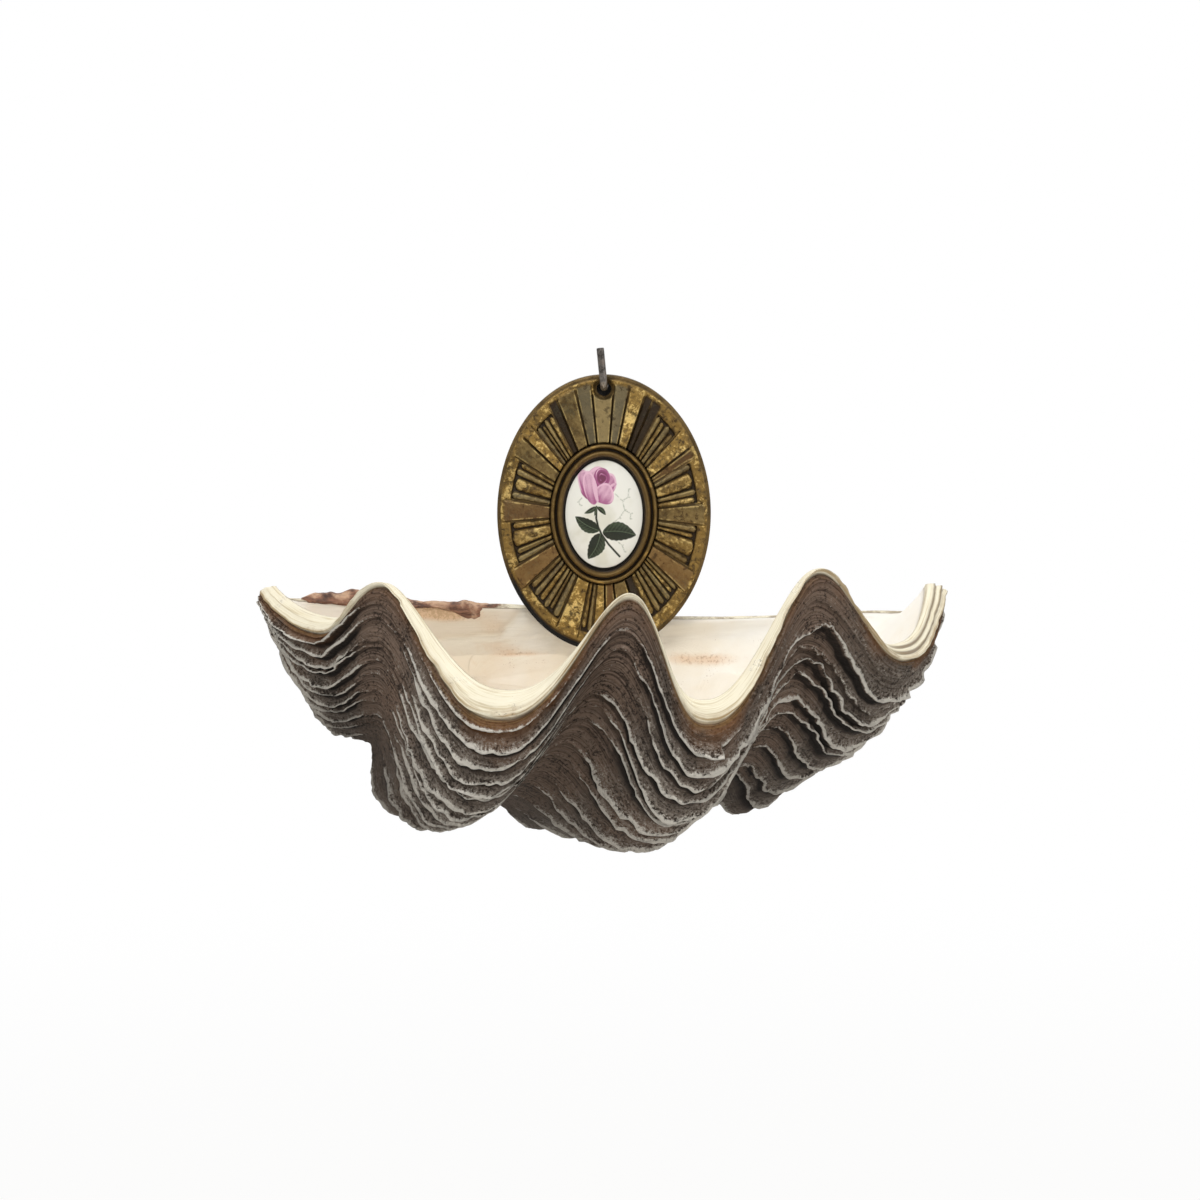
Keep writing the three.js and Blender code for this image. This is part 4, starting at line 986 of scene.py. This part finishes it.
def paintRose(x, z):
    green, leafy = paintLeaves(x, z)
    layers = {"pink": np.zeros_like(x), "rosy": np.zeros_like(x), "green": green, "leafy": leafy}
    layPetals(layers, x, z, rose["petals"])
    cx, cz, wide, high, pitch = rose["heart"]
    u, v = (x - cx) / wide, (z - cz) / high
    away, around = np.hypot(u, v), np.arctan2(u, v)
    # the inner petals coil round the heart, and their rims catch the light
    coil = (away * wide / pitch - around / (2 * math.pi) + 0.12 * np.sin(3 * around)) % 1
    light = smoothstep(coil, 0.55, 0.8) * (1 - smoothstep(coil, 0.9, 1.0))
    light = light * (0.65 + 0.35 * np.sin(2 * around + 4 * away))
    shade = lerp(1.1, 0.7, smoothstep(away, 0.1, 0.95)) - 0.65 * light * smoothstep(away, 0.1, 0.35)
    cup = smoothstep(1 - away, 0.0, 0.08)
    paint(layers, "pink", cup)
    layers["rosy"] = lerp(layers["rosy"], np.clip(shade, 0, 1.2), cup)
    layPetals(layers, x, z, rose["fronts"])
    layers["tendril"] = paintTendrils(x, z) * (1 - layers["pink"]) * (1 - layers["green"])
    return layers


def makePorcelain():
    steps, angle = porcelain["steps"], circle(porcelain["steps"])
    share = (np.linspace(0.012, 1, porcelain["rows"]) * flank)[:, None]
    x, z = share * cabHalf[0] * np.sin(angle), share * cabHalf[1] * np.cos(angle)
    out = np.hypot(x / cabHalf[0], z / cabHalf[1])
    rise = np.sqrt(np.clip(1 - (out / porcelain["domeWidth"]) ** 2, 0, 1))
    dome = np.stack([x, cabEdge - (cabEdge - cabFront) * rise, plateZ + z], -1)
    sides = [ring(part * cabHalf, y, steps) for part, y in (
        (flank, cabEdge), (0.985, cabEdge), (1.0, cabEdge + 0.2), (1.0, cabBack - 0.2), (0.985, cabBack),
        (0.3, cabBack))]
    masks = paintRose(x - rose["middle"][0], z - rose["middle"][1])
    masks["paintedBezelShade"] = smoothstep(share + 0 * x, 0.9, 0.925)  # painted shade in the corner under the bezel; the sides and back take it in full
    marks = {name: (np.concatenate([mask, np.full((len(sides), steps), name == "paintedBezelShade")]), (mask[0, 0], 0))
             for name, mask in masks.items()}
    tips = [(0, cabFront, plateZ), (0, cabBack, plateZ)]
    return makeTube("porcelainCabochon", np.concatenate([dome, sides]), tips, marks)


def glazedPorcelain():
    f = Finish("glazedPorcelain")
    place = f.place()
    pink, rosy, green, leafy, tendril, paintedBezelShade = f.marks("pink", "rosy", "green", "leafy", "tendril", "paintedBezelShade")
    cloud = f.noise(place, 90.0, 3.0, 0.6)
    dots = f.noise(place, 2600.0, 2.0, 0.6)  # the print's fine dots
    speck = f.noise(place, 700.0, 3.0, 0.7)
    dotted = dots - 0.5
    leaf = f.lay("141c10", ("6f8263", leafy + dotted * 0.2))
    petal = f.lay("e3b8cd", ("9d4a7e", f.step(rosy + dotted * 0.15, 0.0, 0.62)),
                  ("6e1d4b", f.step(rosy, 0.62, 1.0)))
    colour = f.lay("ebeae2", ("dcdacc", f.step(cloud, 0.45, 0.7)), ("b0a894", f.step(speck, 0.7, 0.82) * 0.3),
                   ("a3a89a", tendril * f.step(dots, 0.3, 0.6) * 0.8), (leaf, green * 0.97),
                   # painted shade under the bezel
                   (petal, pink * 0.95), ("1d150d", paintedBezelShade * 0.92))
    return f.done(colour, 0.14 + speck * 0.06, f.bump(cloud, 0.0001, 0.3),
                  {"Specular IOR Level": 0.12, "Coat Weight": 0.1})


settle(makeBezel(), darkBrass(), "bezel_ring")
settle(makePorcelain(), glazedPorcelain(), "cabochon")
print("bezel and porcelain are in place")


# Hardware behind the medallion and on the bolt

screwForm = {"shank": 0.8, "head": 1.5, "headHeight": 1.0, "slot": (0.5, 0.4)}
boltForm = {"shank": 2.0, "head": 3.0, "headHeight": 1.4, "slot": (0.9, 0.6), "threaded": 6.5}
hardware = {"pitch": 0.7, "threadDepth": 0.22, "nutAcross": 7.0, "nutChamfer": 0.55, "bore": 2.15}


def makeSlotted(name, x, z, form, headFrom, side, end, threadFrom, turn):
    # a slotted screw along Y: the head lies towards side of headFrom, the thread runs from threadFrom to end
    shank, head, tall, pitch = form["shank"], form["head"], form["headHeight"], hardware["pitch"]
    course = [(0, end, 0), (shank * 0.55, end, 0), (shank * 0.85, end + side * 0.35, 0.2)]  # radius, y, wear
    for k in range(int((abs(threadFrom - end) - 0.4) / pitch)):
        at = end + side * (0.45 + k * pitch)
        course += [(shank - hardware["threadDepth"], at, 0), (shank, at + side * pitch * 0.45, 1),
                   (shank, at + side * pitch * 0.6, 1)]
    course += [(shank, threadFrom, 0.5), (shank, headFrom, 0.2), (head - 0.15, headFrom, 0.3),
               (head, headFrom + side * 0.15, 0.9)]
    for a in np.linspace(0.1, math.pi / 2, 9)[:-1]:
        rise = 0.45 + (tall - 0.45) * math.sin(a)
        course.append((head * math.cos(a) ** 0.6, headFrom + side * rise, 0.8))
    course.append((0, headFrom + side * tall, 0.8))
    piece = turned(name, [c[:2] for c in course], x, z, 48, [c[2] for c in course])
    width, depth = form["slot"]
    low, high = np.sort([(-head - 1, headFrom + side * (tall - depth), -width / 2),
                         (head + 1, headFrom + side * (tall + 1), width / 2)], axis=0)
    faces = [(0, 1, 3, 2), (4, 6, 7, 5), (0, 4, 5, 1), (2, 3, 7, 6), (0, 2, 6, 4), (1, 5, 7, 3)]
    cut = makeMesh("slot", list(product(*zip(low, high))), faces, smooth=False)
    cut.rotation_euler, cut.location = (0, turn, 0), (x / 1000, 0, z / 1000)
    bpy.context.view_layer.update()
    return carve(piece, [cut])


def makeWasher(name, node):
    solid = Solid(node)
    low, high, outer, bore, soft = solid.low[1], solid.high[1], solid.half[0], hardware["bore"], 0.18
    profile = [(bore, low + soft), (bore + soft, low), (outer - soft, low), (outer, low + soft),
               (outer, high - soft), (outer - soft, high), (bore + soft, high), (bore, high - soft)]
    sides = zip(profile, profile[1:] + profile[:1])
    course = [(lerp(r1, r2, t), lerp(y1, y2, t)) for (r1, y1), (r2, y2) in sides for t in (0, 0.5)]
    wear = [min(1, (radius - bore) / (outer - bore)) for radius, y in course]
    return turned(name, course, solid.middle[0], solid.middle[2], 64, wear)


def makeNut():
    solid = Solid("fixing_nut")
    x, z, low, high = solid.middle[0], solid.middle[2], solid.low[1], solid.high[1]
    flat, soft = hardware["nutAcross"] / 2, hardware["nutChamfer"]
    corner = flat / math.cos(math.pi / 6)
    nut = rod(x, z, corner, low, high, 6, "fixingNut")
    course = [(0, low), (flat * 0.97, low), (corner + 0.05, low + soft), (corner + 0.05, high - soft),
              (flat * 0.97, high), (0, high)]
    carve(nut, [turned("chamfer", course, x, z)], "INTERSECT")
    carve(nut, [rod(x, z, hardware["bore"], low - 1, high + 1, 48)])
    nut.data.shade_flat()
    return nut


def makeOvalPlate(name, node, soft, holeRadius=0.0):
    solid = Solid(node)
    half, low, high, steps = solid.half[[0, 2]], solid.low[1], solid.high[1], 160
    # size, y, wear
    course = [(half * share, low, 0) for share in (0.35, 0.7, 0.92)]
    course += [(half - soft, low, 1), (half, low + soft, 0.8), (half, high - soft, 0.8),
               (half - soft, high, 1)]
    course += [(half * share, high, 0) for share in (0.92, 0.7, 0.35)]
    middle = solid.middle[2]
    rings = [ring(size, y, steps, 0.0, middle) for size, y, wear in course]
    wear = np.array([c[2] for c in course])[:, None]
    piece = makeTube(name, rings, [(0, low, middle), (0, high, middle)], {"high": (wear, plain)})
    if holeRadius:
        carve(piece, [rod(x, z, holeRadius, low - 1, high + 1, 32) for x, z in screwPlaces])
    return piece


def metalFinish(name, low, high, spot, metallic, roughness, scale=500.0, brushed=(1, 1, 1)):
    f = Finish(name)
    place = f.place()
    mottle = f.noise(place, scale, 5.0, 0.68, 0.3)
    grain = f.noise(f.vectorMath("MULTIPLY", place, brushed), scale * 3, 3.0, 0.6)
    broadly = f.noise(place, scale / 4, 3.0, 0.6) - 0.5
    wear, = f.marks("high")
    colour = f.lay(low, (high, f.step(mottle + wear * 0.35 + broadly * 0.6, 0.42, 0.85)),
                   (spot, f.step(mottle + broadly, 0.56, 0.7) * 0.45))
    return f.done(colour, roughness + (mottle - 0.5) * 0.25, f.bump(mottle * 0.6 + grain * 0.5, 0.00015, 0.6),
                  {"Metallic": metallic})


def tannedLeather():
    f = Finish("tannedLeather")
    place = f.place()
    grain = f.cells(place, 900.0)
    mottle = f.noise(place, 220.0, 4.0, 0.6)
    colour = f.lay("6b4428", ("8f6038", f.step(mottle, 0.38, 0.66)),
                   ("3c2414", f.fall(grain, 0.0, 0.35) * 0.5))
    return f.done(colour, 0.72 - mottle * 0.15, f.bump(grain * 0.5 + mottle, 0.00025, 0.7))


def greyCard():
    f = Finish("greyCard")
    fibre = f.noise(f.vectorMath("MULTIPLY", f.place(), (1, 1, 0.3)), 1400.0, 4.0, 0.7)
    return f.done(f.lay("9a8a70", ("b7a88c", f.step(fibre, 0.4, 0.62))), 0.9, f.bump(fibre, 0.0001, 0.6))


screwSteel = metalFinish("screwSteel", "5a5347", "a39b8a", "6b4c30", 0.85, 0.36)
boltBrass = metalFinish("boltBrass", "5d4820", "a98d50", "3d3016", 0.8, 0.34)
sheetBrass = metalFinish("sheetBrass", "6e5627", "a58a4c", "463818", 0.78, 0.36, 260.0, (1, 1, 0.08))

screwFrom = screws[0].high[1] - screwForm["headHeight"]
for k, (x, z) in enumerate(screwPlaces, 1):
    screw = makeSlotted(f"backScrew{k}", x, z, screwForm, screwFrom, 1, screws[0].low[1], screwFrom - 0.4,
                        0.5 + k * 1.1)
    settle(screw, screwSteel, f"back_screw_{k}")
boltFrom, threadFrom = bolt.low[1] + boltForm["headHeight"], bolt.high[1] - boltForm["threaded"]
fixingBolt = makeSlotted("fixingBolt", 0, boltZ, boltForm, boltFrom, -1, bolt.high[1], threadFrom, 0.35)
settle(fixingBolt, boltBrass, "fixing_bolt")
settle(makeWasher("spacerWasher", "spacer_washer"), sheetBrass, "spacer_washer")
settle(makeWasher("flatWasher", "flat_washer"), screwSteel, "flat_washer")
settle(makeNut(), screwSteel, "fixing_nut")
backPlate = makeOvalPlate("backPlate", "back_plate", 0.25, medallion["screwHole"])
settle(backPlate, sheetBrass, "back_plate")
settle(makeWasher("leatherWasher", "leather_washer"), tannedLeather(), "leather_washer")
settle(makeOvalPlate("packingCard", "packing_card", 0.1), greyCard(), "packing_card")


# Hook: a square-bend hook of round wire, whose tapered end is cut with a thread for the wall

hook = {"radius": 1.1, "tip": 0.3, "point": 9.0, "inWall": 22.0, "bend": 3.2, "rise": 8.6,
        "lean": math.radians(5.5), "threadTo": 6.0, "threadPitch": 1.15, "threadCut": 0.22,
        "threadSteps": 118, "sides": 32}


def makeHook():
    radius, bend, lean, steps = hook["radius"], hook["bend"], hook["lean"], hook["threadSteps"]
    bendFrom = Solid("wall_hook").low[1] + radius + bend
    up = np.array([-math.sin(lean), 0, math.cos(lean)])
    side = np.array([math.cos(lean), 0, math.sin(lean)])
    out = np.array([0, -1.0, 0])
    stations = []  # centre, direction, radius, wear; below zero wear is thread
    for i in range(steps):
        y = hook["inWall"] - (hook["inWall"] - hook["threadTo"]) * i / steps
        grow = min(1.0, (hook["inWall"] - y) / hook["point"])
        stations.append((np.array([0, y, 0]), out, lerp(hook["tip"], radius, grow), -1.0))
    for y in np.linspace(hook["threadTo"], bendFrom + 0.3, 12):
        stations.append((np.array([0, y, 0]), out, radius, 0.25))
    corner = np.array([0, bendFrom, 0])
    # round the bend the wear mark peaks: a painted highlight there on the wire's wear
    for a in np.linspace(0, math.pi / 2, 16):
        centre = corner + out * bend * math.sin(a) + up * bend * (1 - math.cos(a))
        stations.append((centre, out * math.cos(a) + up * math.sin(a), radius, 0.35 + 0.65 * math.sin(a * 2)))
    foot = corner + out * bend + up * bend
    for rise, share in ((0.8, 1), (2, 1), (4, 1), (6, 1), (7.6, 1), (8.35, 1), (8.52, 0.93), (8.6, 0.8)):
        stations.append((foot + up * rise * hook["rise"] / 8.6, up, radius * share, 0.3 if rise < 3 else 0.1))
    angle = circle(hook["sides"])
    rings = []
    for centre, way, wide, worn in stations:
        if worn < 0:
            phase = (centre[1] / hook["threadPitch"] + angle / (2 * math.pi)) % 1
            cut = smoothstep(np.abs(phase - 0.5) * 2, 0.25, 0.75)
            wide = wide - hook["threadCut"] * cut * min(1.0, wide / radius + 0.2)
        circleWay = np.cos(angle)[:, None] * side + np.sin(angle)[:, None] * np.cross(side, way)
        rings.append(centre + np.broadcast_to(wide, angle.shape)[:, None] * circleWay)
    wear = np.array([[max(station[3], 0.15)] for station in stations])
    return makeTube("wallHook", rings, [stations[0][0], stations[-1][0]], {"high": (wear, (0.2, 0.3))})


hookIron = metalFinish("hookIron", "35312e", "8f8983", "4a3526", 0.85, 0.34, 420.0)
settle(makeHook(), hookIron, "wall_hook", "hook")


# Ligament: the dried brown hinge, torn off along the left of the back rim

ligament = {"half": 2.4, "steps": 190, "tear": 0.32, "backTo": -28,
            "x": (-90, -86, -81, -74, -69, -63, -58, -55, -50, -45, -41, -36, -32, -30.4),
            "height": (0.5, 2.2, 2.0, 3.3, 3.8, 3.0, 1.4, 0.9, 1.2, 1.0, 1.3, 0.9, 0.7, 0.2),
            "hang": (0.2, 0.9, 0.8, 1.8, 1.4, 1.2, 0.5, 0.5, 0.7, 1.6, 3.8, 4.4, 2.6, 0.6)}
# its section from the outer foot over the top and down the inside: across, share of height, share of hang
ligamentSection = [
    (-1, 0, 0), (-1.02, 0.3, 0), (-0.9, 0.62, 0), (-0.66, 0.88, 0), (-0.35, 1, 0), (0, 0.95, 0), (0.35, 1, 0),
    (0.66, 0.85, 0), (0.9, 0.55, 0), (1.06, 0.2, 0), (1.16, 0, 0.15), (1.2, 0, 0.5), (1.16, 0, 0.85),
    (1, 0, 1), (0.85, 0, 0.7), (0.6, -0.1, 0.3), (0.3, -0.15, 0), (-0.3, -0.15, 0), (-0.8, -0.1, 0)]


def makeLigament():
    level = np.zeros(len(lip["x"]))
    middle = (outerPlace(0.0, level) + innerPlace(level)) / 2
    onBack = (lip["flare"] < 0.01) & (lip["lipX"] < ligament["backTo"])
    course = middle[onBack][np.argsort(middle[onBack][:, 0])]
    x = np.linspace(ligament["x"][0], ligament["x"][-1], ligament["steps"])
    y, z = (np.interp(x, course[:, 0], course[:, k]) for k in (1, 2))
    tall, hang = (np.interp(x, ligament["x"], ligament[name]) for name in ("height", "hang"))
    uneven = 1 + 0.22 * softNoise(x / 3.4, 3.0, 51) + 0.09 * softNoise(x / 1.4, 7.0, 52)
    tall = np.maximum(0.15, tall * uneven)
    hang = np.maximum(0.1, hang * (1 + 0.3 * softNoise(x / 2.6, 5.0, 53)))
    taper = np.minimum(1, np.minimum(x - x[0], x[-1] - x) / 3 + 0.25)
    rows, worn = [], []
    for k, (across, share, fall) in enumerate(ligamentSection):
        tear = ligament["tear"] * softNoise(x / 2.2, k * 1.1, 54) * (1 if 0 < k < 15 else 0.3)
        out = across * ligament["half"] * taper
        rows.append(np.stack([x, y - out - tear * 0.7, z + share * tall - fall * hang + tear], -1))
        # the wear mark follows the height on the section, so the light patches lean to the top: painted
        # highlight there
        worn.append(np.clip(share + 0.3 * softNoise(x / 1.5, k * 0.8, 55), 0, 1))
    rings = np.array(rows).transpose(1, 0, 2)
    tips = [rings[0].mean(0), rings[-1].mean(0)]
    return makeTube("hingeLigament", rings, tips, {"high": (np.array(worn).T, plain)})


def driedLigament():
    f = Finish("driedLigament")
    place = f.place()
    fibre = f.noise(f.vectorMath("MULTIPLY", place, (0.25, 1, 1)), 900.0, 5.0, 0.7, 0.3)
    patch = f.noise(place, 170.0, 4.0, 0.6)
    high, = f.marks("high")
    colour = f.lay("4c2c1c", ("8a6049", f.step(fibre, 0.36, 0.6)),
                   # light patches, leaning to the top as a painted highlight
                   ("cda98a", f.step(patch + high * 0.15, 0.52, 0.7) * 0.8),
                   ("1c0f09", f.fall(patch, 0.32, 0.46) * 0.7))
    return f.done(colour, 0.66 + (fibre - 0.5) * 0.3, f.bump(fibre + patch * 0.6, 0.0006, 0.9))


settle(makeLigament(), driedLigament(), "hinge_ligament")
print("hardware, hook and ligament are in place")
